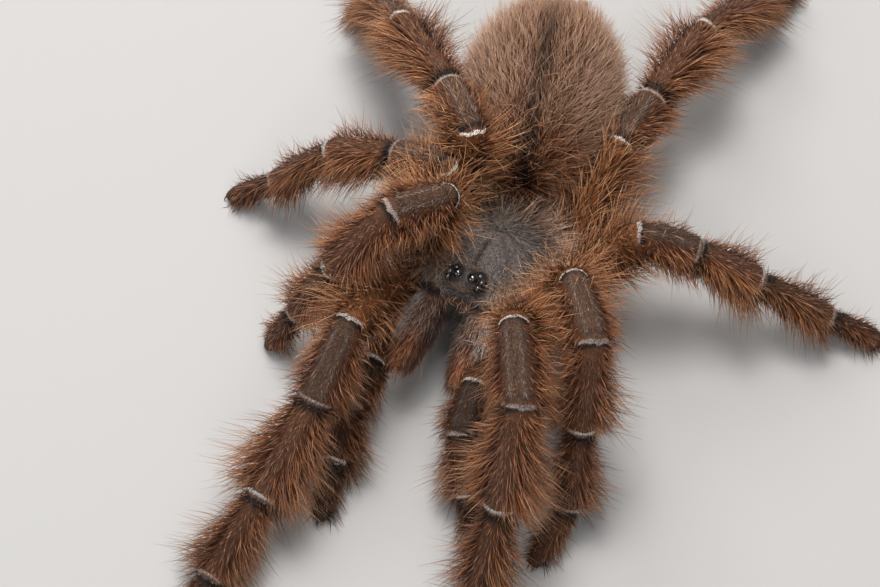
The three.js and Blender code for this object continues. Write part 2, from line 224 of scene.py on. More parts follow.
class Surface:
    """A closed round surface: `place(u, v)`, u from one pole to the other, v round it.

    span holds the lengthwise shares of the two poles.
    """

    span: Pair = (0.0, 1.0)

    def place(self, u: Array, v: Array) -> Array:
        """Points at lengthwise share u and turn share v."""
        raise NotImplementedError

    def lie(self, u: Array, v: Array) -> tuple[Array, Array, Array, Array]:
        """Point, outward normal, lengthwise tangent and crosswise tangent.

        The tangents are differences over a small step of u and of v. The normal is their
        cross product, crosswise by lengthwise.

        Args:
            u, v: lengthwise and turn shares.

        Returns:
            Four arrays of rows of three.
        """
        step = 1e-3
        point = self.place(u, v)
        along = unit(self.place(u + step, v) - self.place(u - step, v))
        across = unit(self.place(u, v + step) - self.place(u, v - step))
        normal = unit(np.cross(across, along))
        return point, normal, along, np.cross(along, normal)

    def shares(self, steps: int, sides: int) -> tuple[Array, Array]:
        """The shares of every corner of `grid`: ring after ring, then the two poles.

        The k-th ring of n stands at (1 - cos(pi k / (n + 1))) / 2 of the way, so that rings
        are closer together towards both poles.

        Args:
            steps, sides: rings between the poles, and corners of a ring.

        Returns:
            Lengthwise shares and turn shares.
        """
        low, high = self.span
        share = (1 - np.cos(np.pi * np.linspace(0, 1, steps + 2)[1:-1])) / 2
        u = np.append(np.repeat(low + (high - low) * share, sides), [low, high])
        return u, np.append(np.tile(np.arange(sides) / sides, steps), [0.0, 0.0])

    def grid(self, steps: int, sides: int) -> tuple[Array, list[Face]]:
        """A closed mesh of the surface.

        Args:
            steps, sides: rings between the poles, and corners of a ring.

        Returns:
            Corners, and faces that point outwards.
        """
        ring = np.arange(steps)[:, None] * sides
        here, after = np.arange(sides), (np.arange(sides) + 1) % sides
        quads = np.stack(
            [ring[:-1] + here, ring[:-1] + after, ring[1:] + after, ring[1:] + here], -1
        ).reshape(-1, 4)
        start, end = steps * sides, steps * sides + 1
        first = np.stack([np.full(sides, start), after, here], -1)
        last = np.stack([np.full(sides, end), ring[-1] + here, ring[-1] + after], -1)
        faces = [tuple(f) for part in (quads, first, last) for f in part.tolist()]
        return self.place(*self.shares(steps, sides)), faces


@dataclass
class Rod(Surface):
    """A straight round body with ball ends, such as a length of limb.

    radii are those of the two ends, width and height stretch it crosswise and upwards,
    waist is how far its ends narrow and belly how far its middle swells, as shares.
    """

    start: Array
    along: Array
    dorsal: Array
    length: float
    radii: Pair
    width: float = 0.95
    height: float = 1.04
    waist: float = 0.0
    belly: float = 0.05

    def __post_init__(self) -> None:
        """Squares the axes and works out how far the ball ends reach."""
        self.along, self.across, self.dorsal = squared(self.along, self.dorsal)
        ends = self.side_radius(np.array([0.0, 1.0])) / self.length
        self.span = (-float(ends[0]), 1 + float(ends[1]))

    def side_radius(self, u: Array) -> Array:
        """Radius of the straight part: a line between the ends, a slight belly, and a waist.

        The waist narrows the first 0.9 mm and the last 0.3 mm, where a limb's skin dips
        into its joint.

        Args:
            u: lengthwise shares from 0 to 1.

        Returns:
            A radius for each.
        """
        line = self.radii[0] + (self.radii[1] - self.radii[0]) * u
        near = 1 - smooth(u * self.length, 0.1, 0.9)
        far = 1 - smooth((1 - u) * self.length, 0.05, 0.3)
        neck = self.waist * near + 0.7 * self.waist * far
        return line * (1 + self.belly * np.sin(np.pi * u)) * (1 - neck)

    def radius(self, u: Array) -> Array:
        """Radius at share u: the straight part's, or a ball's past either end."""
        return ball_ended(u, self.side_radius(np.clip(u, 0, 1)), self.length)

    def place(self, u: Array, v: Array) -> Array:
        """Axis point at u, plus the radius turned by v from the dorsal side."""
        turn = TURN * v
        radius = self.radius(u)[:, None]
        rim = (
            np.cos(turn)[:, None] * self.height * self.dorsal
            + np.sin(turn)[:, None] * self.width * self.across
        )
        return self.start + u[:, None] * self.length * self.along + radius * rim

    def locate(self, points: Array) -> tuple[Array, Array, Array]:
        """Where points lie on this rod.

        Args:
            points: rows of three.

        Returns:
            Lengthwise share, turn share from the dorsal side, and distance from the surface.
        """
        reach = points - self.start
        u = reach @ self.along / self.length
        out = reach - u[:, None] * self.length * self.along
        turn = np.arctan2(out @ self.across / self.width, out @ self.dorsal / self.height)
        miss = np.abs(np.linalg.norm(out, axis=1) - self.side_radius(np.clip(u, 0, 1)))
        beyond = np.maximum(np.abs(u - 0.5) - 0.5, 0) * self.length
        return u, turn / TURN, miss + beyond


@dataclass
class Egg(Surface):
    """An ellipsoid along one axis, fuller towards its far end if asked."""

    centre: Array
    along: Array
    dorsal: Array
    half: Triple
    fullness: float = 0.0

    def __post_init__(self) -> None:
        """Squares the axes."""
        self.along, self.across, self.dorsal = squared(self.along, self.dorsal)

    def place(self, u: Array, v: Array) -> Array:
        """Ellipsoid point: cos(pi u) along, and a ring of radius sin(pi u) across it."""
        length, width, height = self.half
        share = -np.cos(np.pi * u)
        ring = np.abs(np.sin(np.pi * u))
        fuller = 1 + self.fullness * share - self.fullness * share**2 / 2
        turn = TURN * v
        return (
            self.centre
            + (share * length)[:, None] * self.along
            + (ring * np.sin(turn) * width * fuller)[:, None] * self.across
            + (ring * np.cos(turn) * height)[:, None] * self.dorsal
        )

    def locate(self, points: Array) -> tuple[Array, Array, Array]:
        """Where points lie on this egg, its fullness left aside.

        Args:
            points: rows of three.

        Returns:
            Lengthwise share, turn share from the dorsal side, and distance from the centre
            as a share of the surface's.
        """
        axes = np.stack([self.along, self.across, self.dorsal], 1)
        scaled = (points - self.centre) @ axes / np.array(self.half)
        u = np.arccos(np.clip(-scaled[:, 0], -1, 1)) / np.pi
        v = np.arctan2(scaled[:, 1], scaled[:, 2]) / TURN
        return u, v, np.linalg.norm(scaled, axis=1)


# ---- limbs


@dataclass(frozen=True)
class LimbBuild:
    """Sizes shared by the two limbs of a pair, in millimetres.

    root is the joint's place in the head's frame, lengths are shares of LIMB_UNIT, skin
    holds the radii of each length's ends, hair its longest hair, and shade is painted
    shade: how much darker the whole limb is painted where less light falls on it.
    """

    root: Triple
    lengths: tuple[float, ...]
    skin: tuple[Pair, ...]
    hair: tuple[float, ...]
    shade: float = 0.0


LIMB_UNIT = 14.0

# shade in the builds is painted shade, darkest on the palps
BUILDS: dict[LimbKind, LimbBuild] = {
    LimbKind.PALP: LimbBuild(
        (6.2, 3.8, -3.0), (0.48, 0.33, 0.40, 0.34),
        ((1.3, 1.4), (1.3, 1.38), (1.25, 1.25), (1.1, 0.8)), (1.6, 2.6, 3.4, 2.2), shade=0.44,
    ),
    LimbKind.FIRST: LimbBuild(
        (5.7, 6.3, 0.0), (0.84, 0.53, 0.70, 0.60, 0.42),
        ((1.55, 1.7), (1.6, 1.72), (1.5, 1.5), (1.2, 1.2), (1.02, 0.8)),
        (3.4, 3.2, 5.0, 4.2, 2.6), shade=0.06,
    ),
    LimbKind.SECOND: LimbBuild(
        (2.1, 7.5, 0.0), (0.76, 0.48, 0.60, 0.56, 0.40),
        ((1.5, 1.62), (1.55, 1.65), (1.42, 1.42), (1.15, 1.15), (1.0, 0.78)),
        (3.2, 3.0, 4.0, 3.6, 2.3),
    ),
    LimbKind.THIRD: LimbBuild(
        (-1.8, 7.5, 0.0), (0.64, 0.38, 0.48, 0.56, 0.38),
        ((1.5, 1.58), (1.5, 1.58), (1.38, 1.38), (1.12, 1.12), (0.98, 0.76)),
        (3.0, 3.0, 4.0, 3.4, 2.2), shade=0.07,
    ),
    LimbKind.FOURTH: LimbBuild(
        (-5.4, 6.0, 0.0), (0.80, 0.43, 0.66, 0.76, 0.40),
        ((1.55, 1.62), (1.52, 1.6), (1.42, 1.42), (1.15, 1.15), (1.0, 0.78)),
        (3.4, 3.4, 4.8, 4.0, 2.4), shade=0.07,
    ),
}


@dataclass
class Stance:
    """Angles of one limb in degrees.

    heading runs from straight ahead out to the limb's own side, lean tips its plane, turn
    is extra heading from the tibia on, foot_turn from the metatarsus on and toe_turn of the
    tarsus alone. pitch is the rise of each length but the last, which always reaches down
    to the floor.
    """

    heading: float
    lean: float
    turn: float
    pitch: tuple[float, ...]
    foot_turn: float = 0.0
    toe_turn: float = 0.0


STANCES: dict[tuple[Side, LimbKind], Stance] = dict(zip(
    ((side, kind) for side in Side for kind in LimbKind),
    (
        Stance(8, -2, 26, (24, -12, -38)),
        Stance(28, -9, -32, (60, -4, -54, -46)),
        Stance(37, 4, -17, (70, 7, -57, -56), toe_turn=-30),
        Stance(112, 12, -4, (46, -21, -27, -28)),
        Stance(173, 13, -3, (20, 1, 3, -27)),
        Stance(9, 11, -16, (8, -17, -14)),
        Stance(3, -3, 4, (34, -36, -25, -16)),
        Stance(35, -14, -6, (105, 29, -52, -67)),
        Stance(104, 11, -22, (97, -26, -16, -48)),
        Stance(136, 10, -8, (87, -12, -7, -43), foot_turn=14),
    ),
))


@dataclass(frozen=True)
class Tone:
    """Colouring of one part of a limb.

    top and flank are how warm the hair is, from grey-brown at 0 through rust to orange at
    1, and shoulder is where one turns into the other, in radians from the dorsal line. rim
    is how pale the ring at the far end is, rim_width its width in millimetres, stripe how
    pale the two lines along the top are, and shade how dark the whole is, partly the
    length's own darker colour and partly painted shade.
    """

    top: float
    flank: float
    shoulder: Pair
    rim: float = 0.0
    rim_width: float = 0.4
    stripe: float = 0.0
    shade: float = 0.0


# shade in the tones is partly the far lengths' own darker colour, partly painted shade
TONES: dict[Part, Tone] = {
    Part.FEMUR: Tone(0.92, 1.05, (0.2, 1.0), rim=1.0, rim_width=0.24),
    Part.PATELLA: Tone(0.14, 0.74, (0.5, 1.2), rim=0.85, rim_width=0.24, stripe=0.32),
    Part.TIBIA: Tone(0.4, 0.8, (0.2, 1.0), rim=1.0, rim_width=0.24, shade=0.04),
    Part.METATARSUS: Tone(0.5, 0.8, (0.2, 1.0), rim=0.78, rim_width=0.26, shade=0.31),
    Part.TARSUS: Tone(0.4, 0.6, (0.1, 0.6), shade=0.36),
}


STRIPE_TURN, STRIPE_WIDTH = np.radians([21.0, 4.5])


@dataclass
class Marks:
    """Markings at places on the body, each from 0 to 1, in part painted shade and light."""

    warm: Array
    pale: Array
    dark: Array

    @classmethod
    def even(
        cls, count: int, warm: Values = 0.0, pale: Values = 0.0,
        dark: Values = 0.0,
    ) -> "Marks":
        """Markings at a number of places, each alike everywhere or given place by place."""
        return cls(*(np.full(count, value, float) for value in (warm, pale, dark)))


@dataclass
class Limb:
    """One leg or palp: its lengths in place, and the marks on it.

    The toe heights are those of the last joint's end above the floor, and showing is how
    much of a length's ball end is seen past a bend.
    """

    side: Side
    kind: LimbKind
    toe_height: float = 0.6
    palp_toe_height: float = 0.85
    showing: float = 0.6
    segments: list[Rod] = field(default_factory=list)

    def __post_init__(self) -> None:
        """Sets out the lengths from the body to the floor."""
        build = BUILDS[self.kind]
        stance = STANCES[self.side, self.kind]
        sign = self.side.value
        forward, out, up = build.root
        joint = HEAD.point(forward, out * sign, up)
        ahead = np.arctan2(HEAD.forward[1], HEAD.forward[0])
        lean = np.radians(stance.lean)
        toe = self.palp_toe_height if self.kind is LimbKind.PALP else self.toe_height
        turns = np.cumsum([stance.heading, 0, stance.turn, stance.foot_turn, stance.toe_turn])
        for i, share in enumerate(build.lengths):
            length = share * LIMB_UNIT
            heading = ahead + sign * np.radians(turns[i])
            outward = np.array([np.cos(heading), np.sin(heading), 0.0])
            sideways = np.array([-np.sin(heading), np.cos(heading), 0.0])
            rise = UP * np.cos(lean) + sideways * np.sin(lean) * sign
            if i < len(stance.pitch):
                pitch = np.radians(stance.pitch[i])
            else:
                pitch = np.arcsin((toe - joint[2]) / (length * np.cos(lean)))
            along = outward * np.cos(pitch) + rise * np.sin(pitch)
            dorsal = -outward * np.sin(pitch) + rise * np.cos(pitch)
            self.segments.append(Rod(joint, along, dorsal, length, build.skin[i], waist=0.2))
            joint = joint + along * length

    @property
    def stem(self) -> str:
        """The limb's name, as its nodes begin."""
        if self.kind is LimbKind.PALP:
            return f"palp_{self.side.word}"
        return f"leg_{self.side.word}_{self.kind.value}"

    @property
    def nodes(self) -> list[str]:
        """The limb's CAD nodes."""
        last = "tarsus" if self.kind is LimbKind.PALP else "foot"
        return [f"{self.stem}_{part}" for part in ("femur", "patella", "tibia", last)]

    def part(self, index: int) -> Part:
        """Which length a segment is; a palp has no metatarsus."""
        if self.kind is LimbKind.PALP and index == 3:
            return Part.TARSUS
        return Part(index)

    def facing(self, index: int, other: int, v: Array) -> Array:
        """How far the way out of a length at turn v points along another length.

        It is (dorsal . other) cos(turn) + (across . other) sin(turn), from -1 to 1.
        """
        here = self.segments[index]
        bend = self.segments[other].along @ np.stack([here.dorsal, here.across], 1)
        return np.cos(TURN * v) * bend[0] + np.sin(TURN * v) * bend[1]

    def emerges(self, index: int, v: Array) -> Array:
        """Share of a length where its skin comes out of the length before it.

        On the outside of a bend that is on the ball end: -radius * facing / length.

        Args:
            index: which length.
            v: turn shares from the dorsal side.

        Returns:
            A share for each turn, below 0 on the ball end.
        """
        if index == 0:
            return np.zeros_like(v)
        here = self.segments[index]
        out = self.facing(index, index - 1, v)
        return -here.radii[0] * (1 - here.waist) * out / here.length

    def closes(self, index: int, v: Array) -> Array:
        """Share past a length's far end where its skin shows before the next one covers it.

        On the outside of a bend that is a part, `showing`, of -radius * facing / length;
        elsewhere it is 0.

        Args:
            index: which length.
            v: turn shares from the dorsal side.

        Returns:
            A share for each turn, 0 or more.
        """
        if index + 1 == len(self.segments):
            return np.zeros_like(v)
        here = self.segments[index]
        out = self.facing(index, index + 1, v)
        return self.showing * here.radii[1] * np.clip(-out, 0, 1) / here.length

    def left(self, index: int, u: Array, v: Array) -> Array:
        """Millimetres from places on a length to where its skin ends at the far end."""
        return (1 + self.closes(index, v) - u) * self.segments[index].length

    def marks(self, index: int, u: Array, v: Array) -> Marks:
        """The markings of one length, shared by skin and coat.

        pale: a cream ring on the upper rim of the far end, and two faint stripes along the
        top. warm: grey-brown on top, rust on the flanks, orange on the femur. dark: a thin
        collar next to each joint, the pads under metatarsus and tarsus, and an even darkening
        of the whole length that is partly its own colour and partly painted shade.

        Args:
            index: which length.
            u, v: lengthwise shares, and turn shares from the dorsal side.

        Returns:
            The markings.
        """
        part = self.part(index)
        tone = TONES[part]
        down = (u - self.emerges(index, v)) * self.segments[index].length
        left = self.left(index, u, v)
        turn = turned(v)
        top = smooth(np.cos(turn), 0.1, 0.45)
        band = 1 - smooth(left, tone.rim_width - 0.1, tone.rim_width + 0.08)
        band = band * smooth(left, -0.3, -0.1)
        stripe = hill(np.abs(turn), STRIPE_TURN, STRIPE_WIDTH)
        stripe = stripe * smooth(down, 0.4, 1.0) * smooth(left, 0.5, 1.4)
        pale = np.clip(tone.rim * top * band + tone.stripe * stripe, 0, 1)
        warm = tone.top + (tone.flank - tone.top) * smooth(np.abs(turn), *tone.shoulder)
        collar = 0.96 * (1 - smooth(down, 0.42, 0.95)) * (part is not Part.FEMUR)
        under = smooth(-np.cos(turn), 0.2, 0.75)
        pad = {Part.TARSUS: 1.0, Part.METATARSUS: smooth(u, 0.25, 0.5)}.get(part, 0.0)
        # painted shade over the whole length, with the far lengths' own darker colour
        shade = tone.shade + BUILDS[self.kind].shade
        return Marks(warm, pale, np.clip(collar + under * pad + shade, 0, 1))

    def beside_jaws(self, index: int, v: Array) -> Array:
        """How much places face the jaws from a thigh beside them: 0 on other lengths."""
        if self.kind not in (LimbKind.PALP, LimbKind.FIRST) or index > 0:
            return np.zeros_like(v)
        return smooth(np.sin(TURN * v) * self.side.value, 0.0, 0.55)

    def unwrap(self, index: int, u: Array, v: Array) -> Array:
        """Places on the limb's own unwrap: turn across, length down the limb up."""
        lengths = np.array([segment.length for segment in self.segments])
        down = (lengths[:index].sum() + np.clip(u, 0, 1) * lengths[index]) / lengths.sum()
        return on_unwrap(v % 1.0, down)


# ---- hairs


@dataclass
class Hairs:
    """A batch of hairs, one row each, all with the same number of rings."""

    root: Array
    rise: Array
    rest: Array
    normal: Array
    length: Array
    width: Array
    patch: Array
    marks: Marks
    chance: Array
    rings: int
    tip: float


@dataclass(frozen=True)
class HairStyle:
    """How one kind of hair grows: millimetres and degrees.

    lift is the angle from the surface at root and tip, splay the random turn of the whole
    hair, bend the random turn of its outer half, droop the pull of weight on it, clump how
    far tips draw together within cells of clump_size, and tip the share of the colour from
    root to tip that it shows.
    """

    length: Pair
    lift: Pair
    width: float
    rings: int = 3
    splay: float = 14.0
    bend: float = 0.0
    droop: float = 0.0
    clump: float = 0.0
    clump_size: float = 0.55
    tip: float = 1.0


class Groom:
    """Grows hairs on surfaces into one mesh of closed tapered three-sided spikes.

    taper is the width at each ring as a share of the root's, by the number of rings. steps
    and shake spread places evenly but not in rows. lift_play is in degrees, width_play a
    factor, and root_depth is how far under the surface a hair starts.
    """

    taper = {1: (1.0,), 2: (1.0, 0.75), 3: (1.0, 0.88, 0.6)}
    patch_size = 0.003
    steps = (0.7548776662, 0.5698402910)
    shake = 0.35
    lift_play = 5.0
    width_play = (0.65, 1.4)
    root_depth = 0.08

    def __init__(self, seed: int) -> None:
        """Starts without hair, with a seeded source of chance."""
        self.chance = np.random.default_rng(seed)
        self.corners: list[Array] = []
        self.faces: list[Array] = []
        self.patches: list[Array] = []
        self.values: dict[str, list[Array]] = {
            name: [] for name in ("along", "chance", "warm", "pale", "dark")
        }
        self.count = 0

    def scatter(self, number: int, low: float = 0.0, high: float = 1.0) -> tuple[Array, Array]:
        """Evenly spread places: a plastic-number sequence with a little shake.

        Args:
            number: how many.
            low, high: least and greatest lengthwise share.

        Returns:
            Lengthwise shares and turn shares.
        """
        i = np.arange(number) + self.chance.random()
        shake = self.chance.normal(0, self.shake / np.sqrt(max(number, 1)), (2, number))
        u = np.clip((i * self.steps[0] + shake[0]) % 1.0, 0, 1)
        v = (i * self.steps[1] + shake[1]) % 1.0
        return low + (high - low) * u, v

    def scatter_on_egg(self, number: int) -> tuple[Array, Array]:
        """Places even over an egg's area: u is arccos(1 - 2 share) / pi, short of the poles."""
        share, v = self.scatter(number)
        return np.arccos(1 - 2 * np.clip(share, 0.002, 0.998)) / np.pi, v

    def grow(
        self, surface: Surface, u: Array, v: Array, style: HairStyle, marks: Marks,
        patch: Array, flow: Array | None = None, size: Values = 1.0,
        stand: Values = 1.0, fan: Values = 0.0,
    ) -> None:
        """Grows hairs of one style at given places.

        A hair leaves the surface at the first lift angle from its way and ends at the
        second. Its way is the flow, turned by the fan and a random splay; its outer half is
        turned again by the bend and pulled down by its weight. In a clump the tips draw
        together over the middle of the clump's cell.

        Args:
            surface: what they grow on.
            u, v: lengthwise and turn shares.
            style: how they grow.
            marks: the markings at their roots.
            patch: their places on the unwrap.
            flow: the way they lie, if not lengthwise.
            size: what their length is multiplied by.
            stand: what their lift is multiplied by.
            fan: degrees that their way turns round the normal, towards greater v.
        """
        number = len(u)
        point, normal, along, across = surface.lie(u, v)
        if flow is not None:
            along = unit(flow - (flow * normal).sum(1)[:, None] * normal)
            across = np.cross(along, normal)
        length = self.chance.uniform(*style.length, number) * size
        turn = np.radians(fan + self.chance.normal(0, style.splay, number))
        bend = turn + np.radians(self.chance.normal(0, style.bend, number))
        ways = []
        for angle, lift in zip((turn, bend), style.lift):
            play = self.chance.normal(0, self.lift_play, number)
            raised = np.radians(lift * stand + play)[:, None]
            way = along * np.cos(angle)[:, None] + across * np.sin(angle)[:, None]
            ways.append(way * np.cos(raised) + normal * np.sin(raised))
        rise, rest = ways[0], unit(ways[1] - style.droop * UP)
        if style.clump > 0:
            pull = self.towards_clump(point, style.clump_size)
            rest = unit(rest + pull * (2 * style.clump / np.maximum(length, 0.2))[:, None])
        width = style.width * self.chance.uniform(*self.width_play, number)
        chance = self.chance.random(number)
        root = point - normal * self.root_depth
        self.add(Hairs(
            root, rise, rest, normal, length, width, patch, marks, chance, style.rings, style.tip
        ))

    def towards_clump(self, point: Array, size: float) -> Array:
        """The way from each root to the middle of the roots in its cell.

        Args:
            point: the roots, rows of three.
            size: the cell's side in millimetres.

        Returns:
            Rows of three.
        """
        cells = np.floor(point / size + self.chance.random(3)).astype(np.int64)
        _, member = np.unique(cells, axis=0, return_inverse=True)
        member = member.ravel()
        count = np.bincount(member)[:, None]
        middle = np.stack([np.bincount(member, point[:, k]) for k in range(3)], 1) / count
        return middle[member] - point

    def add(self, hairs: Hairs) -> None:
        """Adds a batch.

        Each hair is a curve (1-s)^2 P0 + 2s(1-s) P1 + s^2 P2, with P1 half its length from
        the root along `rise` and P2 half its length further along `rest`. Rings of three
        corners stand on it at equal steps, closed by a point at the tip and a face at the
        root. No corner goes below the floor.

        Args:
            hairs: the batch.
        """
        number, rings = len(hairs.root), hairs.rings
        if number == 0:
            return
        half = hairs.length[:, None] / 2
        middle = hairs.root + hairs.rise * half
        tip = middle + hairs.rest * half
        side = unit(np.cross(hairs.rise + hairs.rest, hairs.normal) + 1e-6)
        other = unit(np.cross(hairs.rise + hairs.rest, side))
        rows = []
        for k, taper in enumerate(self.taper[rings]):
            s = k / rings
            spine = (1 - s) ** 2 * hairs.root + 2 * s * (1 - s) * middle + s**2 * tip
            radius = hairs.width[:, None] / 2 * taper
            for j in range(3):
                angle = TURN * j / 3 + np.pi / 2
                rows.append(spine + radius * (np.cos(angle) * side + np.sin(angle) * other))
        corners = np.stack([*rows, tip], 1)
        corners[..., 2] = np.maximum(corners[..., 2], FLOOR_CLEARANCE)
        per_hair = 3 * rings + 1
        first = self.count + np.arange(number)[:, None, None] * per_hair
        self.faces.append((first + self.pattern(rings)).reshape(-1, 3))
        self.corners.append(corners.reshape(-1, 3))
        share = np.append(np.repeat(np.arange(rings) / rings, 3), 1.0)
        corner = np.append(np.tile(np.arange(3) / 2, rings), 0.5)
        offset = self.patch_size * (np.stack([corner, share], -1) - 0.5)
        self.patches.append((hairs.patch[:, None] + offset).reshape(-1, 2))
        self.values["along"].append(np.tile(share * hairs.tip, number))
        for name, value in {"chance": hairs.chance, **vars(hairs.marks)}.items():
            self.values[name].append(np.repeat(value, per_hair))
        self.count += number * per_hair

    @staticmethod
    def pattern(rings: int) -> Array:
        """Faces of one hair: its root, two to each side of a ring, and three at the tip.

        Args:
            rings: rings of three corners, the root's included.

        Returns:
            Rows of three corner numbers, counted from the hair's first corner.
        """
        faces = [(2, 1, 0)]
        for k in range(rings):
            low, high = 3 * k, 3 * (k + 1)
            for j in range(3):
                after = (j + 1) % 3
                if k + 1 < rings:
                    faces.append((low + j, low + after, high + after))
                    faces.append((low + j, high + after, high + j))
                else:
                    faces.append((low + j, low + after, high))
        return np.array(faces)

    def build(self, name: str, material: Material, slot: str) -> None:
        """Makes the piece, with its patches and values.

        Args:
            name: the piece's name.
            material: its finish.
            slot: not used.
        """
        faces = np.vstack(self.faces)
        data = bpy.data.meshes.new(name)
        corners = np.vstack(self.corners) * MM
        data.vertices.add(len(corners))
        data.vertices.foreach_set("co", corners.ravel().astype(np.float32))
        data.loops.add(faces.size)
        data.loops.foreach_set("vertex_index", faces.ravel().astype(np.int32))
        data.polygons.add(len(faces))
        data.polygons.foreach_set("loop_start", np.arange(0, faces.size, 3, dtype=np.int32))
        data.update(calc_edges=True)
        finish_piece(data, material)
        places = np.vstack(self.patches)[faces.ravel()]
        layer = data.uv_layers.new(name="OFBake")
        layer.data.foreach_set("uv", places.ravel().astype(np.float32))
        for value, chunks in self.values.items():
            add_value(data, value, np.concatenate(chunks))


def add_value(mesh: bpy.types.Mesh, name: str, values: Array) -> None:
    """Stores one number for each corner of a mesh."""
    layer = mesh.attributes.new(name, "FLOAT", "POINT")
    layer.data.foreach_set("value", values.astype(np.float32))


def surface_piece(
    name: str, corners: Array, faces: list[Face], material: Material, slot: str
) -> bpy.types.Object:
    """Makes a piece of a surface.

    Args:
        name: the piece's name.
        corners: rows of three, in millimetres.
        faces: corner numbers of each face.
        material: its finish.
        slot: not used.

    Returns:
        The new object.
    """
    data = bpy.data.meshes.new(name)
    data.from_pydata((corners * MM).tolist(), [], faces)
    data.update()
    return finish_piece(data, material)


def finish_piece(
    data: bpy.types.Mesh, material: Material
) -> bpy.types.Object:
    """Makes a smooth-shaded piece of a mesh, dresses it and rides it on the body.

    Args:
        data: the mesh, whose name the piece gets.
        material: its finish.

    Returns:
        The new object.
    """
    data.polygons.foreach_set("use_smooth", np.ones(len(data.polygons), bool))
    piece = bpy.data.objects.new(data.name, data)
    bpy.context.scene.collection.objects.link(piece)
    data.materials.append(material)
    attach(piece, ROOT_BODY)
    log.info("%s: %d faces", piece.name, len(data.polygons))
    return piece


# ---- finishes


class Sketch:
    """A short way to write a node tree."""

    def __init__(self, tree: bpy.types.NodeTree) -> None:
        """Draws in `tree`, from an empty page."""
        self.tree = tree
        self.tree.nodes.clear()

    def node(self, kind: str, **settings: object) -> bpy.types.Node:
        """Adds a node and sets its properties."""
        made = self.tree.nodes.new(kind)
        for name, value in settings.items():
            setattr(made, name, value)
        return made

    def feed(self, socket: Socket, value: object) -> None:
        """Links a socket to `value`, or sets it if `value` is a plain number or colour."""
        if isinstance(value, Socket):
            self.tree.links.new(value, socket)
        elif isinstance(value, tuple) and len(value) == 3 and socket.type == "RGBA":
            socket.default_value = (*value, 1.0)
        else:
            socket.default_value = value

    def made(
        self, kind: str, result: str | int, inputs: dict,
        **settings: object,
    ) -> Socket:
        """Adds a node and feeds it.

        Args:
            kind: the node's type.
            result: which of its outputs is wanted.
            inputs: what its inputs get, by name or place.
            settings: its properties.

        Returns:
            The output.
        """
        made = self.node(kind, **settings)
        for key, value in inputs.items():
            self.feed(made.inputs[key], value)
        return made.outputs[result]

    def math(self, operation: str, *values: object) -> Socket:
        """A Math node's result."""
        return self.made("ShaderNodeMath", 0, dict(enumerate(values)), operation=operation)

    def step(self, value: object, low: float, high: float) -> Socket:
        """A smooth step of `value` from 0 at `low` to 1 at `high`."""
        inputs = {"Value": value, "From Min": low, "From Max": high}
        return self.made("ShaderNodeMapRange", "Result", inputs, interpolation_type="SMOOTHSTEP")

    def span(self, value: object, low: float, high: float) -> Socket:
        """A value from 0 to 1 spread from `low` to `high`."""
        inputs = {"Value": value, "To Min": low, "To Max": high}
        return self.made("ShaderNodeMapRange", "Result", inputs)

    def mix(self, factor: object, first: object, second: object) -> Socket:
        """A colour between two colours."""
        return self.made("ShaderNodeMix", 2, {0: factor, 6: first, 7: second}, data_type="RGBA")

    def value(self, name: str) -> Socket:
        """A number stored on the mesh."""
        return self.made("ShaderNodeAttribute", "Fac", {}, attribute_name=name)

    def noise(self, scale: float, detail: float = 3.0) -> Socket:
        """Noise over the piece, on Object coordinates."""
        place = self.made("ShaderNodeTexCoord", "Object", {})
        inputs = {"Vector": place, "Scale": scale, "Detail": detail}
        return self.made("ShaderNodeTexNoise", "Fac", inputs)

    def scaled(self, colour: object, factor: object) -> Socket:
        """A colour made lighter or darker."""
        return self.made("ShaderNodeHueSaturation", "Color", {"Color": colour, "Value": factor})

    def bump(self, height: object, strength: float, distance: float) -> Socket:
        """A normal from a height."""
        inputs = {"Height": height, "Strength": strength, "Distance": distance}
        return self.made("ShaderNodeBump", "Normal", inputs)


class ColourGroup:
    """A shared node group that turns stored marks into the colour of hair."""

    inputs = ("Root", "Grey", "Rust", "Orange", "Tip", "Pale", "Dark")

    def __init__(self) -> None:
        """Builds the group once."""
        self.tree = bpy.data.node_groups.new("coat_colour", "ShaderNodeTree")
        for name in self.inputs:
            self.tree.interface.new_socket(name, in_out="INPUT", socket_type="NodeSocketColor")
        self.tree.interface.new_socket("Variety", in_out="INPUT", socket_type="NodeSocketFloat")
        self.tree.interface.new_socket("Colour", in_out="OUTPUT", socket_type="NodeSocketColor")
        sketch = Sketch(self.tree)
        given = sketch.node("NodeGroupInput").outputs
        along = sketch.value("along")
        chance = sketch.value("chance")
        hue = sketch.math("MULTIPLY_ADD", chance, 0.4, sketch.value("warm"))
        hue = sketch.math("SUBTRACT", hue, 0.2)
        body = sketch.mix(sketch.step(hue, 0.0, 0.55), given["Grey"], given["Rust"])
        body = sketch.mix(sketch.step(hue, 0.5, 1.05), body, given["Orange"])
        whole = sketch.mix(sketch.step(along, -0.1, 0.6), given["Root"], body)
        tip_start = sketch.math("MULTIPLY_ADD", chance, 0.3, along)
        tip = sketch.math("MULTIPLY", sketch.step(tip_start, 0.55, 1.2), 0.9)
        whole = sketch.mix(tip, whole, given["Tip"])
        whole = sketch.mix(sketch.value("pale"), whole, given["Pale"])
        whole = sketch.mix(sketch.value("dark"), whole, given["Dark"])
        other = sketch.math("FRACT", sketch.math("MULTIPLY", chance, 7.0))
        uneven = sketch.math("MULTIPLY", sketch.span(other, -0.5, 0.6), given["Variety"])
        unmarked = sketch.math("SUBTRACT", 1.0, sketch.value("pale"))
        uneven = sketch.math("MULTIPLY", uneven, unmarked)
        light = sketch.math("ADD", uneven, sketch.span(sketch.noise(350.0), 0.75, 1.25))
        whole = sketch.scaled(whole, light)
        result = sketch.node("NodeGroupOutput")
        sketch.feed(result.inputs["Colour"], whole)


COAT_GROUP = ColourGroup()


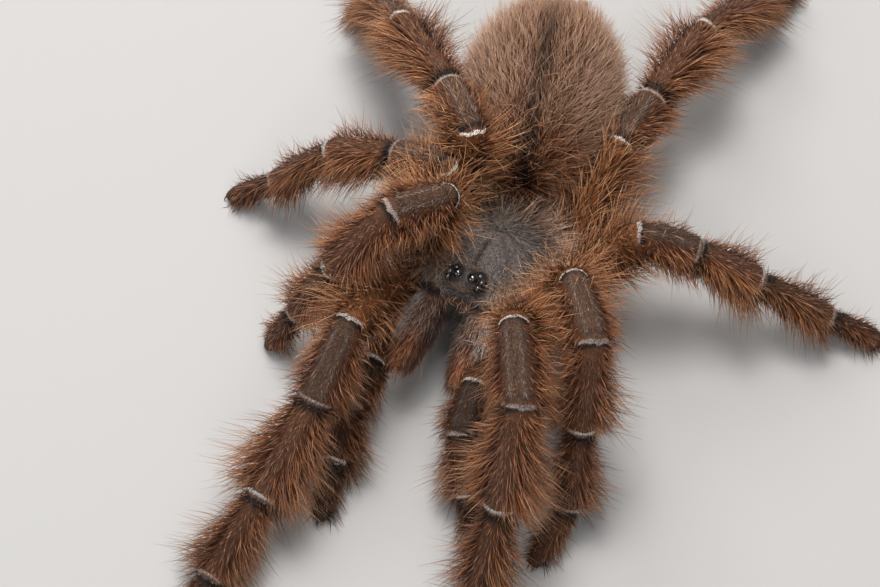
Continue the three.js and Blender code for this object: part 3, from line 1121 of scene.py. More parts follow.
class Finish:
    """What all finishes share: a Principled shader fed by the finish's own sockets."""

    name: str

    def sockets(self, sketch: Sketch) -> dict[str, object]:
        """What each socket of the shader gets."""
        raise NotImplementedError

    def material(self) -> Material:
        """The finish as a new material."""
        material = bpy.data.materials.new(self.name)
        material.use_nodes = True
        sketch = Sketch(material.node_tree)
        shader = sketch.made("ShaderNodeBsdfPrincipled", "BSDF", self.sockets(sketch))
        sketch.feed(sketch.node("ShaderNodeOutputMaterial").inputs["Surface"], shader)
        return material


@dataclass(frozen=True)
class CoatFinish(Finish):
    """Hair: dark root, a body from grey through rust to orange, a light tip, and marks."""

    name: str
    root: Colour = (0.020, 0.010, 0.008)
    grey: Colour = (0.158, 0.101, 0.082)
    rust: Colour = (0.285, 0.085, 0.036)
    orange: Colour = (0.450, 0.150, 0.034)
    tip: Colour = (0.810, 0.490, 0.260)
    pale: Colour = (0.950, 0.900, 0.850)
    # dark colours the dark markings and also the painted shade that the marks carry
    dark: Colour = (0.012, 0.009, 0.008)
    roughness: float = 0.42
    gloss: float = 0.4
    variety: float = 1.0

    def sockets(self, sketch: Sketch) -> dict[str, object]:
        """The shared group's colour from this finish's colours, and an even gloss."""
        colours = {name: getattr(self, name.lower()) for name in COAT_GROUP.inputs}
        given = {**colours, "Variety": self.variety}
        return {
            "Base Color": sketch.made(
                "ShaderNodeGroup", "Colour", given, node_tree=COAT_GROUP.tree
            ),
            "Roughness": self.roughness,
            "Specular IOR Level": self.gloss,
        }


@dataclass(frozen=True)
class SkinFinish(Finish):
    """Dark leathery skin under the coat, with the coat's markings and a velvet nap."""

    name: str = "skin_under_coat"
    deep: Colour = (0.030, 0.020, 0.015)
    nap: Colour = (0.105, 0.062, 0.042)
    warm: Colour = (0.20, 0.07, 0.022)
    pale: Colour = (0.60, 0.52, 0.45)
    dark: Colour = (0.010, 0.008, 0.007)
    # a dark blue painted as the sheen on the jaws' bare bases, over their dark horn
    painted_sheen: Colour = (0.014, 0.014, 0.026)
    gloss: float = 0.25

    def sockets(self, sketch: Sketch) -> dict[str, object]:
        """A fine nap over a broad unevenness, each mark laid over it, and a low relief."""
        fine = sketch.noise(5200.0, 2.0)
        colour = sketch.mix(sketch.step(fine, 0.35, 0.65), self.deep, self.nap)
        colour = sketch.scaled(colour, sketch.span(sketch.noise(700.0), 0.7, 1.3))
        for mark in ("warm", "pale", "dark", "painted_sheen"):
            colour = sketch.mix(sketch.value(mark), colour, getattr(self, mark))
        return {
            "Base Color": colour,
            "Roughness": sketch.span(fine, 0.7, 0.9),
            "Specular IOR Level": self.gloss,
            "Normal": sketch.bump(fine, 0.6, 0.00012),
        }


@dataclass(frozen=True)
class ShellFinish(Finish):
    """The back shield: grey-beige felt over dark horn, darker in its grooves."""

    name: str = "felted_shell"
    horn: Colour = (0.040, 0.030, 0.026)
    felt: Colour = (0.200, 0.165, 0.148)
    # groove colours the grooves and also the painted shade at the front rim
    groove: Colour = (0.012, 0.009, 0.008)
    bare: Colour = (0.014, 0.006, 0.005)
    felt_roughness: Colour = (0.62, 0.62, 0.62)
    bare_roughness: Colour = (0.5, 0.5, 0.5)

    def sockets(self, sketch: Sketch) -> dict[str, object]:
        """Felt in flecks over the horn, then the grooves and the bare parts."""
        fine = sketch.noise(6000.0, 2.0)
        bare = sketch.value("bare")
        colour = sketch.mix(sketch.step(fine, 0.38, 0.6), self.horn, self.felt)
        colour = sketch.scaled(colour, sketch.span(sketch.noise(450.0), 0.75, 1.25))
        colour = sketch.mix(sketch.value("dark"), colour, self.groove)
        return {
            "Base Color": sketch.mix(bare, colour, self.bare),
            "Roughness": sketch.mix(bare, self.felt_roughness, self.bare_roughness),
            "Normal": sketch.bump(fine, 0.5, 0.0001),
        }


@dataclass(frozen=True)
class HornFinish(Finish):
    """Smooth dark horn or lens: fangs, claws and eyes."""

    name: str
    dark: Colour = (0.008, 0.005, 0.004)
    light: Colour = (0.09, 0.018, 0.008)
    roughness: float = 0.16
    coat: float = 0.6
    coat_roughness: float = 0.03
    ior: float = 1.5

    def sockets(self, sketch: Sketch) -> dict[str, object]:
        """A slightly cloudy colour, `light` where the mesh's root value is high."""
        colour = sketch.mix(sketch.value("root"), self.dark, self.light)
        return {
            "Base Color": sketch.scaled(colour, sketch.span(sketch.noise(2500.0), 0.7, 1.3)),
            "Roughness": self.roughness,
            "Coat Weight": self.coat,
            "Coat Roughness": self.coat_roughness,
            "IOR": self.ior,
        }


FINISHES: tuple[Finish, ...] = (
    CoatFinish("leg_hair"),
    CoatFinish(
        "abdomen_hair", root=(0.090, 0.044, 0.028), grey=(0.365, 0.198, 0.124),
        rust=(0.39, 0.165, 0.080), orange=(0.47, 0.150, 0.035), tip=(0.74, 0.49, 0.33),
        pale=(0.72, 0.50, 0.38), dark=(0.040, 0.018, 0.012), variety=0.5,
    ),
    CoatFinish(
        "shield_hair", root=(0.060, 0.048, 0.045), grey=(0.225, 0.200, 0.200),
        rust=(0.36, 0.250, 0.180), orange=(0.52, 0.21, 0.07), tip=(0.74, 0.58, 0.47),
        variety=0.6,
    ),
    CoatFinish(
        "jaw_hair", grey=(0.34, 0.225, 0.185), rust=(0.46, 0.180, 0.10),
        orange=(0.58, 0.20, 0.07), tip=(0.82, 0.58, 0.45), pale=(0.82, 0.77, 0.74),
    ),
    ShellFinish(),
    HornFinish("fang_horn"),
    # the lens's light colour is its silver, partly pearly colour and partly painted reflection
    HornFinish(
        "eye_lens", dark=(0.003, 0.003, 0.004), light=(0.30, 0.32, 0.36), roughness=0.07,
        coat=1.0, ior=1.75,
    ),
)


# ---- body


@dataclass
class Abdomen:
    """The egg-shaped abdomen, its spinnerets and its fluffy coat."""

    length: float = 21.5
    half_width: float = 7.6
    half_height: float = 6.75
    heading: float = 11.0
    tilt: float = 5.0
    centre_height: float = 7.75
    waist_back: float = 7.6
    coat_depth: float = 1.35
    fullness: float = 0.14
    overlap: float = 0.6
    spots: tuple[float, ...] = (0.24, 0.38, 0.5, 0.62, 0.73)
    finger_root: Triple = (2.1, 1.1, 2.6)
    finger_turn: float = 13.0
    finger_lengths: Pair = (2.2, 2.1)
    finger_rise: float = 0.12
    finger_hairs: int = 420
    seed: int = 41

    def __post_init__(self) -> None:
        """Sets the egg in place behind the waist."""
        turn, tip = np.radians([self.heading, self.tilt])
        self.level = np.array([np.sin(turn), np.cos(turn), 0.0])
        self.axis = self.level * np.cos(tip) + UP * np.sin(tip)
        waist = HEAD.point(-self.waist_back, 0, 0)
        self.centre = waist + self.level * (self.length / 2 - self.overlap)
        self.centre[2] = self.centre_height
        half = (
            self.length / 2 - self.coat_depth,
            self.half_width - self.coat_depth,
            self.half_height - self.coat_depth,
        )
        self.egg = Egg(self.centre, self.axis, UP, half, self.fullness)

    def spinnerets(self) -> list[Rod]:
        """The pair of trailing spinning fingers, each an inner and an outer joint."""
        back, out, down = self.finger_root
        inner, outer = self.finger_lengths
        across = np.array([self.level[1], -self.level[0], 0.0])
        fingers = []
        for side in Side:
            turn = np.radians(self.heading - side.value * self.finger_turn)
            way = np.array([np.sin(turn), np.cos(turn), 0.0])
            start = (
                self.centre + self.axis * (self.length / 2 - back)
                - across * side.value * out - UP * down
            )
            fingers.append(Rod(start, way, UP, inner, (0.6, 0.5)))
            rising = way + UP * self.finger_rise
            fingers.append(Rod(start + way * inner, rising, UP, outer, (0.46, 0.28)))
        return fingers

    def pedicel(self) -> Rod:
        """The narrow waist, from inside the head to inside the abdomen."""
        start = HEAD.point(-self.waist_back + 1.6, 0, -0.2)
        end = self.centre - self.axis * (self.length / 2 - 4.0) - UP * 1.2
        return Rod(start, end - start, UP, float(np.linalg.norm(end - start)), (1.0, 1.2))

    def marks(self, u: Array, v: Array) -> Marks:
        """A dark stripe along the back that widens in spots, and a dark, warm front end.

        Args:
            u, v: shares from front to rear, and turn shares from the top.

        Returns:
            The markings.
        """
        turn = turned(v)
        side = np.sin(turn) * np.sin(np.pi * u)
        above = smooth(np.cos(turn), -0.2, 0.5)
        spots = 0.07 + 0.07 * sum(hill(u, at, 0.035) for at in self.spots)
        stripe = hill(side, 0.0, spots) * above * (1 - smooth(u, 0.68, 0.86))
        shade = hill(side, 0.0, 0.42) * above * (1 - smooth(u, 0.5, 0.85))
        front = 1 - smooth(u, 0.16, 0.4)
        dark = np.clip(0.6 * stripe + 0.28 * shade + 0.34 * front, 0, 1)
        warm = np.clip(0.12 + 1.1 * front + 0.25 * shade, 0, 1.25)
        flank = 0.22 * smooth(np.abs(side), 0.35, 0.8) * smooth(u, 0.2, 0.5)
        return Marks(warm, flank, dark)

    def coat(self, material: Material) -> None:
        """Grows the hairs of abdomen and spinnerets and makes the piece.

        Args:
            material: its finish.
        """
        groom = Groom(self.seed)
        under = HairStyle((1.0, 1.7), (34, 20), 0.08, rings=1, splay=20, tip=0.8)
        fluff = HairStyle(
            (1.9, 3.4), (56, 40), 0.05, rings=2, splay=26, bend=20, clump=0.04, clump_size=0.5
        )
        guard = HairStyle((2.8, 5.0), (60, 30), 0.05, splay=44, bend=38, droop=0.12)
        for style, number in {under: 11500, fluff: 14500, guard: 2600}.items():
            u, v = groom.scatter_on_egg(number)
            belly = smooth(-np.cos(turned(v)), 0.2, 0.8)
            spare = 1 - 0.6 * belly
            if style is guard:
                spare = spare * (0.2 + 0.8 * (1 - smooth(u, 0.25, 0.6)))
            keep = groom.chance.random(number) < spare
            u, v, belly = u[keep], v[keep], belly[keep]
            marks = self.marks(u, v)
            if style is guard:
                marks = Marks(np.clip(marks.warm, 0.4, 1.05), marks.pale + 0.1, marks.dark * 0.0)
            place = on_unwrap(v % 1.0, u)
            groom.grow(self.egg, u, v, style, marks, place, size=1 - 0.4 * belly)
        short = HairStyle((0.4, 0.8), (34, 18), 0.06, rings=1, splay=16)
        for k, finger in enumerate(self.spinnerets()):
            u, v = groom.scatter(self.finger_hairs, 0.0, 1.1)
            place = on_unwrap(v % 1.0, u, (0.05 + 0.24 * k, 0.02, 0.18, 0.04))
            groom.grow(finger, u, v, short, Marks.even(len(u), warm=0.6, dark=0.25), place)
        groom.build("coat_abdomen", material, "abdomen_coat")


@dataclass
class Chelicerae:
    """The two stout jaw bases, their coat, and the fangs folded under them."""

    forward: float = 6.6
    out: float = 2.45
    up: float = 0.4
    length: float = 7.6
    spread: float = 5.0
    droop: float = 20.0
    radii: Pair = (1.6, 1.25)
    coat_depth: float = 0.4
    fang_back: float = 1.7
    fang_down: float = 1.25
    fang_mesh: MeshSize = (26, 16)
    seed: int = 53

    def rod(self, side: Side) -> Rod:
        """The jaw base of one side, a rod that droops ahead of the face."""
        ahead = np.arctan2(HEAD.forward[1], HEAD.forward[0]) + side.value * np.radians(self.spread)
        drop = np.radians(self.droop)
        level = np.array([np.cos(ahead), np.sin(ahead), 0.0])
        way = level * np.cos(drop) - UP * np.sin(drop)
        start = HEAD.point(self.forward, self.out * side.value, self.up)
        length = self.length - self.radii[1] - self.coat_depth
        return Rod(start, way, UP, length, self.radii, height=1.1, belly=0.2)

    def marks(self, u: Array, v: Array, side: Side) -> Marks:
        """Pale grey above and outside, rust at the end, painted shade inside, dark at the base.

        Args:
            u, v: lengthwise shares, and turn shares from the top.
            side: which jaw base.

        Returns:
            The markings.
        """
        turn = turned(v)
        outer = -np.sin(turn) * side.value
        # the pale outer side is partly the hair's own grey and partly painted light
        pale = 0.9 * smooth(outer, 0.05, 0.6) * (1 - smooth(u, 0.45, 0.85))
        # the dark inner side, facing the other jaw, is painted shade
        inner = smooth(-outer, 0.35, 0.9)
        warm = np.clip(0.08 + 0.85 * smooth(u, 0.35, 0.85), 0, 1)
        dark = np.maximum(0.6 * inner, 0.9 * (1 - smooth(u, -0.08, 0.03)))
        return Marks(warm, pale, dark)

    def coat(self, material: Material) -> None:
        """Grows the hair of both jaw bases and makes the piece.

        Args:
            material: its finish.
        """
        groom = Groom(self.seed)
        density = {
            HairStyle((0.5, 0.9), (20, 10), 0.085, rings=1, splay=9, tip=0.8): 32.0,
            HairStyle((0.9, 1.7), (28, 13), 0.066, rings=2, splay=11, bend=10, clump=0.15): 24.0,
            HairStyle((1.4, 2.4), (36, 20), 0.056, splay=30, bend=26): 1.6,
        }
        for side in Side:
            rod = self.rod(side)
            area = TURN * self.radii[0] * rod.length
            for style, per_mm2 in density.items():
                u, v = groom.scatter(int(per_mm2 * area), -0.12, 1.12)
                under = smooth(-np.cos(TURN * v), 0.2, 0.9)
                size = 1 + 0.5 * under * smooth(u, 0.4, 0.9) - 0.4 * (1 - smooth(u, -0.1, 0.15))
                place = np.stack(
                    [0.02 + 0.46 * (v % 1.0) + 0.25 * (1 - side.value), 0.02 + 0.85 * u], -1
                )
                groom.grow(rod, u, v, style, self.marks(u, v, side), place, size=size)
        groom.build("coat_chelicerae", material, "velvet")

    def fangs(self, material: Material) -> None:
        """Makes the two fangs: cones bent round an arc, closed at both ends.

        Args:
            material: its finish.
        """
        for side in Side:
            rod = self.rod(side)
            root = rod.start + rod.along * (self.length - self.fang_back)
            fang = Fang(root - rod.dorsal * self.fang_down, rod.along, rod.dorsal, rod.across)
            name = f"fang_horn_{side.word}"
            piece = surface_piece(name, *fang.grid(*self.fang_mesh), material, "fang")
            u, _ = fang.shares(*self.fang_mesh)
            add_value(piece.data, "root", 1 - smooth(u, 0.0, 0.35))
            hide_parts(f"fang_{side.word}")


@dataclass
class Fang(Surface):
    """A tapered hook that curls back under its jaw base."""

    start: Array
    along: Array
    dorsal: Array
    across: Array
    length: float = 4.6
    root_radius: float = 0.6
    tip_radius: float = 0.07
    curl: float = 62.0
    tilt: float = 118.0
    span = (-0.12, 1.014)

    def place(self, u: Array, v: Array) -> Array:
        """A point of the cone, bent: its axis is an arc of `curl` degrees.

        Args:
            u, v: shares from root to tip, and turn shares.

        Returns:
            Rows of three.
        """
        bend = np.radians(self.curl)
        arc = self.length / bend
        side = self.root_radius + (self.tip_radius - self.root_radius) * np.clip(u, 0, 1) ** 0.8
        radius = ball_ended(u, side, self.length)
        angle = bend * u
        turn = TURN * v
        from_centre = arc + radius * np.cos(turn)
        forth = from_centre * np.sin(angle)
        high = from_centre * np.cos(angle) - arc
        tilt = -np.radians(self.tilt)
        y = forth * np.cos(tilt) - high * np.sin(tilt)
        z = forth * np.sin(tilt) + high * np.cos(tilt)
        return (
            self.start + y[:, None] * self.along + z[:, None] * self.dorsal
            + (radius * np.sin(turn))[:, None] * self.across
        )


@dataclass
class EyeMound(Surface):
    """The knob that carries the eyes: each eye has a boss or a dent, and a low rim."""

    forward: float = 5.75
    up: float = 3.45
    half: Triple = (1.42, 1.95, 1.04)
    rim: float = 0.07
    mesh: MeshSize = (60, 90)

    def __post_init__(self) -> None:
        """Sets the knob in place, and finds each eye's foot and height on it."""
        centre = HEAD.point(self.forward, 0, self.up)
        self.egg = Egg(centre, HEAD.forward, HEAD.up, self.half)
        axes = np.stack([self.egg.along, self.egg.across, self.egg.dorsal], 1)
        self.eyes = []
        for eye in all_eyes():
            middle = node_middle(eye.node)
            away = middle - centre
            depth = float(np.linalg.norm(away @ axes / np.array(self.half)))
            foot = centre + away / depth
            height = float(np.linalg.norm(away)) * (1 - 1 / depth)
            self.eyes.append((middle, foot, height, max(eye.half)))

    def beside_eyes(self, point: Array) -> Array:
        """How far each point is from the edge of the nearest eye."""
        return np.min([
            np.linalg.norm(point - middle, axis=1) - radius for middle, _, _, radius in self.eyes
        ], axis=0)

    def place(self, u: Array, v: Array) -> Array:
        """The egg's point, moved out by a bell under each eye and by a ring round it.

        Args:
            u, v: shares from rear to front, and turn shares from the top.

        Returns:
            Rows of three.
        """
        point = self.egg.place(u, v)
        out = unit(point - self.egg.centre)
        lift = np.zeros(len(point))
        for _, foot, height, radius in self.eyes:
            away = np.linalg.norm(point - foot, axis=1)
            lift += (height - 0.08) * hill(away, 0.0, radius * 1.3)
            lift += self.rim * hill(away, radius * 1.1, 0.1)
        return point + out * lift[:, None]

    def build(self, material: Material) -> None:
        """Makes the knob, barer away from the eyes' edges.

        Args:
            material: its finish.
        """
        corners, faces = self.grid(*self.mesh)
        knob = surface_piece("eye_mound_shell", corners, faces, material, "shell")
        add_value(knob.data, "dark", np.zeros(len(corners)))
        add_value(knob.data, "bare", 1 - 0.45 * smooth(self.beside_eyes(corners), 0.1, 0.5))
        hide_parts("eye_mound")


@dataclass(frozen=True)
class Eye:
    """One lens: its node's name, half sizes and how silvery it is, partly painted reflection."""

    pair: str
    side: Side
    half: Triple
    silver: float
    mesh: MeshSize = (18, 28)

    @property
    def node(self) -> str:
        """The eye's CAD node."""
        return f"eye_{self.pair}_{self.side.word}"

    def build(self, material: Material) -> None:
        """Makes the lens: a smooth egg in the CAD node's place.

        Args:
            material: its finish.
        """
        egg = Egg(node_middle(self.node), HEAD.forward, HEAD.up, self.half)
        corners, faces = egg.grid(*self.mesh)
        piece = surface_piece(f"lens_{self.pair}_{self.side.word}", corners, faces, material, "eye")
        add_value(piece.data, "root", np.full(len(corners), self.silver))
        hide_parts(self.node)


def all_eyes() -> list[Eye]:
    """The eight eyes in four pairs, each left before right."""
    # the last number of each pair is its silver: partly pearly colour, partly painted reflection
    pairs = (
        ("front_middle", (0.53, 0.53, 0.45), 0.0),
        ("front_side", (0.36, 0.31, 0.31), 0.03),
        ("rear_side", (0.31, 0.26, 0.26), 0.12),
        ("rear_middle", (0.25, 0.23, 0.19), 0.25),
    )
    return [Eye(pair, side, half, silver) for pair, half, silver in pairs for side in Side]


@dataclass
class Carapace(Surface):
    """The back shield: domed, grooved from a pit in its middle, felted."""

    half_width: float = 6.35
    front_reach: float = 7.55
    rear_reach: float = 7.9
    dome: float = 3.75
    skirt: float = 1.2
    narrowing: float = 0.3
    pit_at: float = -1.7
    grooves: tuple[float, ...] = (38.0, 74.0, 108.0, 142.0)
    mesh: MeshSize = (150, 220)
    bristle_count: int = 96
    mound_hairs: int = 2400
    seed: int = 67

    def plan(self, u: Array, v: Array) -> tuple[Array, Array, Array]:
        """The shield in the head's own frame, with its relief.

        The outline is a circle's ring raised to 0.62, narrower ahead. The relief is a pit,
        grooves that run out from it, and the swollen head region.

        Args:
            u, v: shares from rear to front, and turn shares from the top.

        Returns:
            Across, forward and above.
        """
        share = -np.cos(np.pi * u)
        ring = np.abs(np.sin(np.pi * u)) ** 0.62
        turn = TURN * v
        ahead = np.clip(share, 0, 1)
        width = self.half_width * (1 - self.narrowing * ahead**1.5)
        across = np.sin(turn) * ring * width
        forward = share * np.where(share > 0, self.front_reach, self.rear_reach)
        swell = 1 + 0.1 * ahead - 0.28 * np.clip(-share, 0, 1)
        height = np.where(np.cos(turn) > 0, self.dome * swell, self.skirt)
        above = np.sign(np.cos(turn)) * np.abs(np.cos(turn)) ** 0.85 * ring * height
        return across, forward, above + self.relief(across, forward) * (above > 0)

    def relief(self, across: Array, forward: Array) -> Array:
        """Height of the pit, grooves, middle line and head region above the plain dome.

        Args:
            across, forward: millimetres to the side and ahead of the middle.

        Returns:
            A height for each place.
        """
        back = forward - self.pit_at
        pit = -0.6 * np.exp(-((across / 1.0) ** 2) - ((back + 0.1 * across**2) / 0.4) ** 2)
        head = 0.3 * np.exp(-((across / 2.9) ** 2) - ((back - 4.4) / 3.4) ** 2)
        line = -0.12 * self.middle_line(across, forward)
        return pit + head + line - 0.3 * self.groove(across, forward)

    def middle_line(self, across: Array, forward: Array) -> Array:
        """How much a place is on the line from the pit to the eye mound, from 0 to 1."""
        back = forward - self.pit_at
        return hill(across, 0.0, 0.2) * smooth(back, 0.0, 0.6) * (1 - smooth(back, 5.4, 6.4))

    def groove(self, across: Array, forward: Array) -> Array:
        """How deep in a groove a place is: a bell of its distance from each groove's line.

        Args:
            across, forward: millimetres to the side and ahead of the middle.

        Returns:
            A share from 0 to 1 for each place.
        """
        back = forward - self.pit_at
        distance = np.hypot(across, back)
        bearing = np.degrees(np.arctan2(np.abs(across), back))
        depth = sum(
            np.exp(-((np.radians(bearing - angle) * distance / 0.42) ** 2))
            for angle in self.grooves
        )
        return np.clip(depth, 0, 1) * smooth(distance, 0.8, 2.2) * (1 - smooth(distance, 4.6, 6.6))

    def place(self, u: Array, v: Array) -> Array:
        """The shield's point in the frame of the part: its plan along the head's axes."""
        across, forward, above = self.plan(u, v)
        return (
            HEAD.centre - across[:, None] * HEAD.left + forward[:, None] * HEAD.forward
            + above[:, None] * HEAD.up
        )

    def dark(self, u: Array, v: Array) -> Array:
        """Dark in the pit, grooves and middle line ahead of the pit; painted shade at the rim.

        Args:
            u, v: shares from rear to front, and turn shares from the top.

        Returns:
            A share from 0 to 1 for each place.
        """
        across, forward, _ = self.plan(u, v)
        back = forward - self.pit_at
        pit = np.exp(-((across / 0.9) ** 2) - (back / 0.5) ** 2)
        line = self.middle_line(across, forward) * smooth(back, 1.6, 2.6)
        # painted shade along the front rim, over the jaws
        front = 0.85 * smooth(forward, 6.8, 7.2)
        return np.clip(0.9 * pit + 0.9 * line + 0.25 * self.groove(across, forward) + front, 0, 1)

    def build(self, material: Material) -> None:
        """Makes the shield as a closed piece.

        Args:
            material: its finish.
        """
        corners, faces = self.grid(*self.mesh)
        piece = surface_piece("back_shield", corners, faces, material, "shell")
        dark = self.dark(*self.shares(*self.mesh))
        dark[-2:] = 0.0
        add_value(piece.data, "dark", dark)
        add_value(piece.data, "bare", np.zeros(len(corners)))
        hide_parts("carapace")

    def coat(self, mound: EyeMound, material: Material) -> None:
        """Grows velvet over the shield, long hair round it and bristles over the jaws.

        Args:
            mound: the knob with the eyes, which gets short hair of its own.
            material: its finish.
        """
        groom = Groom(self.seed)
        velvet = HairStyle((0.5, 0.95), (17, 8), 0.062, rings=1, splay=9, tip=0.85)
        nap = HairStyle((0.9, 1.7), (24, 12), 0.05, rings=2, bend=14, clump=0.12)
        fringe = HairStyle((2.0, 4.4), (54, 30), 0.052, splay=28, bend=26, droop=0.06)
        for style, number in {velvet: 21000, nap: 5200, fringe: 3000}.items():
            u, turn = groom.scatter_on_egg(number)
            v = (turn - 0.5) * 0.52 % 1.0
            across, forward, _ = self.plan(u, v)
            edge = smooth(np.hypot(across / 6.3, forward / 7.7), 0.6, 0.95)
            rear = smooth(-forward, 0.5, 4.0)
            spare = np.ones(number)
            if style is nap:
                spare = 0.25 + 0.75 * np.maximum(edge, rear)
            if style is fringe:
                spare = np.clip(edge * (forward < 5) + 0.4 * rear, 0, 1)
            on_mound = ((across / 2.2) ** 2 + ((forward - mound.forward) / 1.7) ** 2) < 1
            keep = (groom.chance.random(number) < spare) & ~on_mound
            u, v, across, forward, edge, rear = (
                a[keep] for a in (u, v, across, forward, edge, rear)
            )
            # the shield's dark marks, with the painted shade at the front rim, darken its hair
            dark = self.dark(u, v)
            warm = np.clip(0.02 + 0.6 * edge + 0.35 * rear, 0, 1)
            if style is fringe:
                warm, dark = np.clip(warm + 0.3, 0.6, 0.85), dark * 0
            groom.grow(
                self, u, v, style, Marks(warm, 0.26 * edge, dark), self.unwrap(across, forward),
                flow=self.flow(across, forward),
            )
        self.bristles(groom)
        self.mound_hair(groom, mound)
        groom.build("coat_back_shield", material, "shell")

    def flow(self, across: Array, forward: Array) -> Array:
        """The way the velvet lies: out from the pit, and more nearly ahead on the head.

        Args:
            across, forward: millimetres to the side and ahead of the middle.

        Returns:
            Rows of three.
        """
        back = forward - self.pit_at
        radial = -across[:, None] * HEAD.left + (0.8 * back)[:, None] * HEAD.forward
        ahead = smooth(forward, -1.0, 2.0) * (1 - smooth(np.abs(across), 2.0, 4.8))
        size = np.hypot(across, 0.8 * back)
        return radial * (1 - 0.8 * ahead)[:, None] + (0.8 * ahead * size)[:, None] * HEAD.forward

    def unwrap(self, across: Array, forward: Array) -> Array:
        """The shield's own unwrap: its plan laid flat."""
        return on_unwrap(across / 14 + 0.5, forward / 17 + 0.5, (0.03, 0.03, 0.9, 0.84))

    def bristles(self, groom: Groom) -> None:
        """Adds the orange bristles along the front rim, above the jaws.

        Args:
            groom: what grows them.
        """
        number = self.bristle_count
        share, turn = groom.scatter(number)
        u = 0.855 + 0.07 * share
        v = (turn - 0.5) * 0.5 % 1.0
        across, forward, _ = self.plan(u, v)
        style = HairStyle((0.9, 2.1), (30, -34), 0.058, splay=30, bend=28)
        flow = np.tile(HEAD.forward - 0.45 * UP, (number, 1))
        warm = np.clip(0.9 + 0.2 * groom.chance.normal(0, 1, number), 0.4, 1.2)
        place = self.unwrap(across, forward)
        groom.grow(self, u, v, style, Marks.even(number, warm), place, flow=flow)

    def mound_hair(self, groom: Groom, mound: EyeMound) -> None:
        """Adds very short hair on the eye mound, clear of the lenses.

        Args:
            groom: what grows it.
            mound: the knob with the eyes.
        """
        u, v = groom.scatter(self.mound_hairs)
        v = (v - 0.5) * 0.6 % 1.0
        point = mound.place(u, v)
        clear = mound.beside_eyes(point) > 0.08
        u, v = u[clear], v[clear]
        style = HairStyle((0.25, 0.6), (34, 18), 0.05, rings=2, splay=20)
        flow = point[clear] - mound.egg.centre
        near = 1 - smooth(mound.beside_eyes(point[clear]), 0.1, 0.5)
        marks = Marks.even(len(u), warm=0.5, dark=0.36 + 0.56 * near)
        place = on_unwrap(u, v, (0.8, 0.9, 0.15, 0.08))
        groom.grow(mound, u, v, style, marks, place, flow=flow)


@dataclass
class Underside:
    """The breast plate and the hips, under the back shield."""

    half: Triple = (5.1, 3.9, 1.3)
    core: Triple = (7.2, 5.7, 2.3)
    down: float = 1.5
    hip_down: float = 0.9
    plate_hairs: int = 2200
    seed: int = 71

    def shapes(self) -> list[Surface]:
        """The breast plate, the body under the shield, and ten hips out to the limbs."""
        plate = Egg(HEAD.point(0.2, 0, -self.down), HEAD.forward, HEAD.up, self.half)
        core = Egg(HEAD.point(0.0, 0, 0.5), HEAD.forward, HEAD.up, self.core)
        return [plate, core, *self.hips()]

    def hips(self) -> list[Rod]:
        """Ten short rods from the breast plate to the limb roots, each left before right."""
        rods = []
        for build in BUILDS.values():
            forward, out, up = build.root
            for side in Side:
                inner = HEAD.point(forward * 0.4, out * 0.4 * side.value, up * 0.4 - self.hip_down)
                outer = HEAD.point(forward, out * side.value, up)
                length = float(np.linalg.norm(outer - inner))
                rods.append(Rod(inner, outer - inner, UP, length, (1.25, 1.45)))
        return rods

    def coat(self, material: Material) -> None:
        """Grows short hair on the hips and breast plate, and long hair at the hips' ends.

        Args:
            material: its finish.
        """
        groom = Groom(self.seed)
        felt = HairStyle((0.5, 0.9), (24, 14), 0.085, rings=1, tip=0.8)
        hair = HairStyle((1.1, 2.2), (40, 22), 0.066, splay=20, bend=20, clump=0.2)
        plate, _, *rods = self.shapes()
        for k, rod in enumerate(rods):
            for style, per_mm2 in {felt: 10.0, hair: 5.0}.items():
                u, v = groom.scatter(int(per_mm2 * TURN * 1.4 * rod.length), 0.1, 1.1)
                marks = Marks.even(len(u), warm=0.6 + 0.3 * u, dark=0.5)
                column = (k + 0.1 + 0.8 * (v % 1.0)) / 12
                groom.grow(rod, u, v, style, marks, on_unwrap(column, u, (0.0, 0.05, 1.0, 0.8)))
        u, v = groom.scatter(self.plate_hairs)
        v = 0.25 + 0.5 * v
        marks = Marks.even(len(u), warm=0.3, dark=0.3)
        groom.grow(plate, u, v, felt, marks, on_unwrap(v, u, (0.86, 0.05, 0.12, 0.9)))
        groom.build("coat_underside", material, "belly")


# ---- skin


